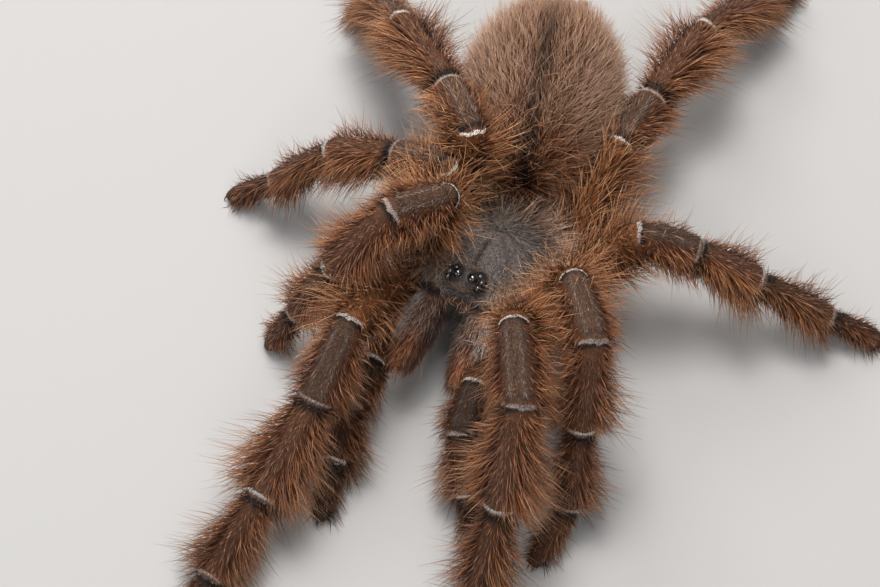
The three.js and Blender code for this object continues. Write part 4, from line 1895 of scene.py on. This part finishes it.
@dataclass
class Skin:
    """One unbroken skin over limbs, jaws, belly, waist and abdomen."""

    limbs: list[Limb]
    abdomen: Abdomen
    jaws: Chelicerae
    underside: Underside
    voxel: float = 0.27
    limb_mesh: MeshSize = (44, 28)
    abdomen_mesh: MeshSize = (60, 64)
    waist_mesh: MeshSize = (16, 20)
    finger_mesh: MeshSize = (14, 12)
    trunk_mesh: MeshSize = (30, 32)
    limb_reach: float = 0.9
    jaw_reach: float = 0.6
    abdomen_reach: float = 1.15

    def shapes(self) -> list[tuple[Surface, MeshSize]]:
        """Every surface that the skin joins, with the rings and sides of its mesh."""
        abdomen = self.abdomen
        trunk = [self.jaws.rod(side) for side in Side] + self.underside.shapes()
        return [
            *((segment, self.limb_mesh) for limb in self.limbs for segment in limb.segments),
            (abdomen.egg, self.abdomen_mesh),
            (abdomen.pedicel(), self.waist_mesh),
            *((finger, self.finger_mesh) for finger in abdomen.spinnerets()),
            *((shape, self.trunk_mesh) for shape in trunk),
        ]

    def build(self, material: Material) -> None:
        """Joins the surfaces, makes one skin of them and stores the markings on it.

        Args:
            material: its finish.
        """
        corners, faces = joined([shape.grid(*size) for shape, size in self.shapes()])
        data = bpy.data.meshes.new("skin_parts")
        data.from_pydata((corners * MM).tolist(), [], faces)
        rough = bpy.data.objects.new("skin_parts", data)
        bpy.context.scene.collection.objects.link(rough)
        remesh = rough.modifiers.new("join", "REMESH")
        remesh.mode = "VOXEL"
        remesh.voxel_size = self.voxel * MM
        graph = bpy.context.evaluated_depsgraph_get()
        skin = bpy.data.meshes.new_from_object(rough.evaluated_get(graph))
        bpy.data.objects.remove(rough)
        skin.name = "skin"
        soles_flat = mesh_corners(skin)
        soles_flat[:, 2] = np.maximum(soles_flat[:, 2], FLOOR_CLEARANCE * MM)
        skin.vertices.foreach_set("co", soles_flat.ravel())
        piece = finish_piece(skin, material)
        self.store_marks(skin)
        nodes = [node for limb in self.limbs for node in limb.nodes]
        nodes += [f"{part}_{side.word}" for part in ("chelicera", "spinneret") for side in Side]
        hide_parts(*nodes, "underside", "pedicel", "abdomen")

    def store_marks(self, mesh: bpy.types.Mesh) -> None:
        """Stores at each corner the marks of the nearest length of limb, jaw or abdomen.

        Args:
            mesh: the skin.
        """
        points = mesh_corners(mesh) / MM
        best = np.full(len(points), self.limb_reach)
        marks = Marks.even(len(points), warm=0.25)
        painted_sheen = np.zeros(len(points))
        u, v, depth = self.abdomen.egg.locate(points)
        on_egg = depth < self.abdomen_reach
        found = self.abdomen.marks(u, v)
        for name, values in vars(marks).items():
            values[on_egg] = getattr(found, name)[on_egg]
        for limb in self.limbs:
            for i, segment in enumerate(limb.segments):
                u, v, miss = segment.locate(points)
                nearer = (miss < best) & ~on_egg
                found = limb.marks(i, u[nearer], v[nearer])
                best[nearer] = miss[nearer]
                marks.warm[nearer], marks.dark[nearer] = found.warm, found.dark
                marks.pale[nearer] = (0.35 if i == 0 else 0.1) * found.pale
        for side in Side:
            u, v, miss = self.jaws.rod(side).locate(points)
            nearer = miss < np.minimum(best, self.jaw_reach)
            best[nearer] = miss[nearer]
            # the jaws' dark marks go onto the skin, the painted shade of the inner side among them
            marks.dark[nearer] = self.jaws.marks(u[nearer], v[nearer], side).dark
            # painted sheen on the bare ball end at each jaw's base
            painted_sheen[nearer] = 0.85 * (1 - smooth(u[nearer], -0.12, 0.0))
        for name, values in {**vars(marks), "painted_sheen": painted_sheen}.items():
            add_value(mesh, name, values)


# ---- coat of the limbs


@dataclass(frozen=True)
class Pelt:
    """How thick the long hair of one part of a limb is.

    density is hairs to the square millimetre on the flanks, bare the share missing from
    the top, bare_width how far down the sides that reaches, in radians, wild the wild hairs
    to the square millimetre, and ring_fade how unevenly pale the ring at the far end is.
    """

    density: float
    bare: float
    bare_width: float
    wild: float = 0.0
    ring_fade: float = 0.35


PELTS: dict[Part, Pelt] = {
    Part.FEMUR: Pelt(8.5, 0.1, 0.3, wild=5.6, ring_fade=0.1),
    Part.PATELLA: Pelt(17.0, 0.95, 0.56, wild=3.8, ring_fade=0.5),
    Part.TIBIA: Pelt(20.0, 0.9, 0.36, wild=8.0, ring_fade=0.1),
    Part.METATARSUS: Pelt(20.0, 0.85, 0.3, wild=7.5),
    Part.TARSUS: Pelt(16.0, 0.6, 0.2, wild=2.0),
}
PADDED = (Part.METATARSUS, Part.TARSUS)


@dataclass
class LimbCoat:
    """The hair of one limb: felt, long hair, wild hair, pale rings and dark pads.

    Densities are hairs to the square millimetre.
    """

    limb: Limb
    seed: int
    felt_density: float = 24.0
    pad_density: float = 30.0
    felt: HairStyle = HairStyle((0.5, 0.95), (22, 9), 0.072, rings=1, splay=9, tip=0.8)
    long: HairStyle = HairStyle(
        (0.5, 1.05), (38, 26), 0.074, rings=2, splay=10, bend=10, droop=0.42, clump=0.15,
        clump_size=0.45,
    )
    wild: HairStyle = HairStyle((0.95, 1.9), (48, 28), 0.058, splay=28, bend=30, droop=0.1)
    halo: HairStyle = HairStyle(
        (0.55, 1.25), (56, 42), 0.054, rings=2, splay=15, bend=8, droop=0.08
    )
    crisp: HairStyle = HairStyle((0.16, 0.3), (34, 14), 0.085, rings=1, splay=12)
    fringe: HairStyle = HairStyle((0.2, 0.42), (32, 16), 0.06, rings=1, splay=15)
    pad: HairStyle = HairStyle((0.35, 0.6), (55, 40), 0.07, rings=1, splay=20)

    def __post_init__(self) -> None:
        """Starts the coat."""
        self.groom = Groom(self.seed)

    def build(self, material: Material) -> None:
        """Grows every kind of hair on every length and makes the piece.

        Args:
            material: its finish.
        """
        for i in range(len(self.limb.segments)):
            part = self.limb.part(i)
            self.add_felt(i)
            self.add_long(i)
            self.add_wild(i)
            if part is not Part.TARSUS:
                self.add_ring(i)
            if part in PADDED:
                self.add_pad(i)
        self.groom.build(f"coat_{self.limb.stem}", material, "leg_coat")

    def area(self, i: int) -> float:
        """The skin of a length in square millimetres, taken as a plain tube."""
        segment = self.limb.segments[i]
        return TURN * float(np.mean(segment.radii)) * segment.length

    def places(self, i: int, number: int) -> tuple[Array, Array]:
        """Places on a length, from where it comes out of the one before to its far end."""
        share, v = self.groom.scatter(number)
        first, last = self.limb.emerges(i, v), 1 + self.limb.closes(i, v)
        return first + (last - first) * share, v

    def put(
        self, i: int, u: Array, v: Array, style: HairStyle, marks: Marks,
        size: Values = 1.0,
    ) -> None:
        """Grows hairs on a length. Flank hairs stand up more and fan out to their side.

        Args:
            i: which length.
            u, v: lengthwise shares, and turn shares from the dorsal side.
            style: how they grow.
            marks: the markings at their roots.
            size: what their length is multiplied by.
        """
        turn = turned(v)
        flank = np.sin(turn) ** 2
        self.groom.grow(
            self.limb.segments[i], u, v, style, marks, self.limb.unwrap(i, u, v), size=size,
            stand=0.7 + 0.95 * flank, fan=26 * np.sin(turn),
        )

    def flare(self, i: int, u: Array) -> Array:
        """How long the hair is along a length: short near its start, but less so on a femur."""
        short = 0.6 if self.limb.part(i) is Part.FEMUR else 0.4
        return short + (1.08 - short) * smooth(u, 0.0, 0.6)

    def add_felt(self, i: int) -> None:
        """Adds short felt all over a length, lying flat towards the foot, thinner below.

        Args:
            i: which length.
        """
        thigh = self.limb.part(i) is Part.FEMUR
        number = int(self.felt_density * self.area(i) * (0.8 if thigh else 1.55))
        u, v = self.places(i, number)
        low = smooth(-np.cos(TURN * v), 0.0, 0.6)
        keep = self.groom.chance.random(len(u)) > 0.65 * low
        u, v = u[keep], v[keep]
        marks = self.limb.marks(i, u, v)
        left = self.limb.left(i, u, v)
        marks.pale = marks.pale * (left > 0.35)
        streak = 0.7 if thigh else 0.4 * self.groom.chance.random(len(u)) ** 2
        marks.dark = np.clip(marks.dark + streak, 0, 1)
        self.put(i, u, v, self.felt, marks, size=0.35 + 0.65 * smooth(left, 0.4, 1.4))

    def add_long(self, i: int) -> None:
        """Adds long hair on the flanks and below, sparse and short along the top.

        Args:
            i: which length.
        """
        part = self.limb.part(i)
        pelt = PELTS[part]
        u, v = self.places(i, int(pelt.density * self.area(i)))
        left = self.limb.left(i, u, v)
        turn = turned(v)
        top = 1 - smooth(np.abs(turn), pelt.bare_width, pelt.bare_width + 0.6)
        upper = smooth(np.cos(turn), -0.1, 0.3)
        missing = np.maximum(pelt.bare * top, upper * (left < 0.55))
        keep = self.groom.chance.random(len(u)) > missing
        u, v, turn, left, top, upper = (a[keep] for a in (u, v, turn, left, top, upper))
        beside = self.limb.beside_jaws(i, v)
        size = BUILDS[self.limb.kind].hair[i] * (1 - 0.45 * top) * self.flare(i, u)
        size = size * (1 - 0.72 * upper * (1 - smooth(left, 0.5, 2.6)))
        size = size * (1 - 0.6 * beside)
        if part in PADDED:
            size = size * (1 - 0.35 * smooth(-np.cos(turn), 0.3, 0.9))
        marks = self.limb.marks(i, u, v)
        marks.warm = marks.warm + 0.08 * upper + 0.18 * self.groom.chance.normal(0, 1, len(u))
        marks.pale = 0.4 * marks.pale * (left > 0.6)
        marks.dark = 0.6 * marks.dark
        if part is Part.FEMUR:
            uneven = 0.4 * self.groom.chance.random(len(u))
            # painted shade on the side of the thigh that faces the jaws, plus random dark hairs
            marks.dark = np.clip(marks.dark + 0.45 * beside + uneven, 0, 1)
        self.put(i, u, v, self.long, marks, size)

    def add_wild(self, i: int) -> None:
        """Adds long, thin hairs that stand off: bent on the femur, straighter elsewhere.

        Args:
            i: which length.
        """
        part = self.limb.part(i)
        thigh = part is Part.FEMUR
        pelt = PELTS[part]
        u, v = self.places(i, int(pelt.wild * self.area(i)))
        marks = self.limb.marks(i, u, v)
        marks.warm = np.clip(marks.warm, 0.4, 0.95)
        marks.pale, marks.dark = marks.pale * 0 + (0.03 if thigh else 0.06), marks.dark * 0.5
        size = BUILDS[self.limb.kind].hair[i] * (1 - 0.5 * self.limb.beside_jaws(i, v))
        turn = turned(v)
        rim = smooth(np.cos(turn), -0.1, 0.3) * (1 - smooth(self.limb.left(i, u, v), 0.4, 1.8))
        if thigh:
            self.put(i, u, v, self.wild, marks, size * (1 - 0.5 * rim))
            return
        top = 0.2 + 0.8 * smooth(np.abs(turn), pelt.bare_width - 0.1, pelt.bare_width + 0.5)
        self.put(i, u, v, self.halo, marks, size * top * self.flare(i, u) * (1 - 0.7 * rim))

    def add_ring(self, i: int) -> None:
        """Adds the pale fringe on the upper rim of a length's far end.

        Args:
            i: which length.
        """
        part = self.limb.part(i)
        crisp = part is Part.FEMUR
        number, span = (600, 2.4) if crisp else (520, 2.6)
        share, turn = self.groom.scatter(number)
        v = (turn - 0.5) * span / TURN % 1.0
        start, end = (0.4, 0.05) if crisp else (0.52, 0.12)
        uneven = 0.05 * np.sin(9 * turn + i) + 0.04 * np.sin(23 * turn + self.seed)
        down = end + (start - end) * share ** (1.0 if crisp else 1.7) + uneven
        u = 1 + self.limb.closes(i, v) - np.maximum(down, 0.02) / self.limb.segments[i].length
        fade = PELTS[part].ring_fade * self.groom.chance.random(number)
        reach = 0.2 if part is Part.TIBIA else 0.0
        pale = TONES[part].rim * (1 - fade) * (1 - smooth(down, 0.25 + reach, 0.6 + reach))
        style = self.crisp if crisp else self.fringe
        self.put(i, u, v, style, Marks.even(number, warm=0.5, pale=pale))

    def add_pad(self, i: int) -> None:
        """Adds the dense dark pad under metatarsus or tarsus.

        Args:
            i: which length.
        """
        start = 0.0 if self.limb.part(i) is Part.TARSUS else 0.35
        number = int(self.pad_density * self.area(i) * 0.4 * (1 - start))
        u, turn = self.groom.scatter(number, start, 1.03)
        v = 0.5 + (turn - 0.5) * 0.4
        self.put(i, u, v, self.pad, Marks.even(number, dark=0.92))


@dataclass
class Claws:
    """Two small hooks at the tip of every leg, and one on each palp."""

    limbs: list[Limb]
    length: float = 1.0
    root_radius: float = 0.13
    tip_radius: float = 0.02
    curl: float = 70.0
    apart: float = 0.24
    ahead: float = 0.35
    above: float = 0.3
    mesh: MeshSize = (10, 8)

    def build(self, material: Material) -> None:
        """Makes all the claws as one joined mesh.

        Args:
            material: its finish.
        """
        claws = []
        for limb in self.limbs:
            last = limb.segments[-1]
            root = last.start + last.along * (last.length + self.ahead) + last.dorsal * self.above
            sideways = (0.0,) if limb.kind is LimbKind.PALP else (-self.apart, self.apart)
            for offset in sideways:
                claw = Fang(
                    root + last.across * offset, last.along, last.dorsal, last.across,
                    self.length, self.root_radius, self.tip_radius, self.curl, tilt=0.0,
                )
                points, polygons = claw.grid(*self.mesh)
                points[:, 2] = np.maximum(points[:, 2], FLOOR_CLEARANCE)
                claws.append((points, polygons))
        corners, faces = joined(claws)
        piece = surface_piece("claws", corners, faces, material, "fang")
        add_value(piece.data, "root", np.full(len(corners), 0.25))


# ---- studio


@dataclass
class Studio:
    """Pale floor, soft lights and the camera, in millimetres and degrees."""

    elevation: float = 58.73
    distance: float = 300.0
    lens: float = 131.7
    sensor: float = 36.0
    near: float = 10.0
    target: Pair = (-4.36, 0.24)
    floor_half: float = 3000.0

    def build(self) -> None:
        """Sets up the floor, the lights and the camera."""
        bpy.context.scene.view_settings.view_transform = "Standard"
        self.floor()
        self.world()
        self.light("key", (-15, 110, 350), 150, 0.95, (1.0, 0.97, 0.94))
        self.light("fill", (-240, -130, 210), 240, 0.28, (0.94, 0.96, 1.0))
        self.light("rim", (-120, 250, 220), 160, 0.34, (1.0, 0.98, 0.96))
        self.light("front", (60, -260, 260), 120, 0.17, (1.0, 0.96, 0.92))
        self.light("spark", (30, -20, 380), 60, 0.16, (1.0, 1.0, 1.0))
        self.camera()

    def floor(self) -> None:
        """A plain pale sheet under the animal."""
        half = self.floor_half * MM
        data = bpy.data.meshes.new("floor")
        corners = [(-half, -half, 0), (half, -half, 0), (half, half, 0), (-half, half, 0)]
        data.from_pydata(corners, [], [(0, 1, 2, 3)])
        sheet = bpy.data.objects.new("floor", data)
        bpy.context.scene.collection.objects.link(sheet)
        material = bpy.data.materials.new("floor_paper")
        material.use_nodes = True
        shader = material.node_tree.nodes["Principled BSDF"]
        shader.inputs["Base Color"].default_value = (0.56, 0.55, 0.54, 1)
        shader.inputs["Roughness"].default_value = 0.9
        data.materials.append(material)

    def world(self) -> None:
        """A dim even light from all round."""
        world = bpy.data.worlds.new("studio")
        world.use_nodes = True
        background = world.node_tree.nodes["Background"]
        background.inputs["Color"].default_value = (0.9, 0.94, 1.0, 1)
        background.inputs["Strength"].default_value = 0.2
        bpy.context.scene.world = world

    def light(
        self, name: str, place: Triple, size: float, power: float,
        colour: Colour,
    ) -> None:
        """A soft square light aimed at the animal.

        Args:
            name: the light's name.
            place: its centre in millimetres.
            size: its side in millimetres.
            power: its power in watts.
            colour: its colour.
        """
        data = bpy.data.lights.new(name, "AREA")
        data.size = size * MM
        data.energy = power
        data.color = colour
        lamp = bpy.data.objects.new(name, data)
        lamp.location = np.array(place) * MM
        lamp.rotation_euler = (-lamp.location).to_track_quat("-Z", "Y").to_euler()
        bpy.context.scene.collection.objects.link(lamp)

    def camera(self) -> None:
        """The camera ahead of and above the animal, looking down along +Y."""
        tip = np.radians(self.elevation)
        ahead = np.array([0.0, np.cos(tip), -np.sin(tip)])
        x, y = self.target
        shift = HEAD.centre * np.array([1.0, 1.0, 0.0])
        place = np.array([x, y, 0.0]) + shift - ahead * self.distance
        data = bpy.data.cameras.new("camera")
        data.lens = self.lens
        data.sensor_width = self.sensor
        data.clip_start = self.near * MM
        camera = bpy.data.objects.new("camera", data)
        camera.location = place * MM
        camera.rotation_euler = (np.pi / 2 - tip, 0.0, 0.0)
        bpy.context.scene.collection.objects.link(camera)
        bpy.context.scene.camera = camera


# ---- the whole


def main() -> None:
    """Builds the tarantula piece by piece."""
    logging.basicConfig(level=logging.INFO, format="%(name)s: %(message)s")
    Studio().build()
    limbs = [Limb(side, kind) for side in Side for kind in LimbKind]
    abdomen = Abdomen()
    jaws = Chelicerae()
    underside = Underside()
    leg_hair, soft_hair, felt_hair, jaw_hair, shell, horn, lens = (
        finish.material() for finish in FINISHES
    )
    Skin(limbs, abdomen, jaws, underside).build(SkinFinish().material())
    carapace = Carapace()
    carapace.build(shell)
    mound = EyeMound()
    mound.build(shell)
    for eye in all_eyes():
        eye.build(lens)
    jaws.fangs(horn)
    Claws(limbs).build(horn)
    carapace.coat(mound, felt_hair)
    jaws.coat(jaw_hair)
    underside.coat(jaw_hair)
    abdomen.coat(soft_hair)
    for seed, limb in enumerate(limbs, 100):
        LimbCoat(limb, seed).build(leg_hair)


if __name__ == "__main__":
    main()
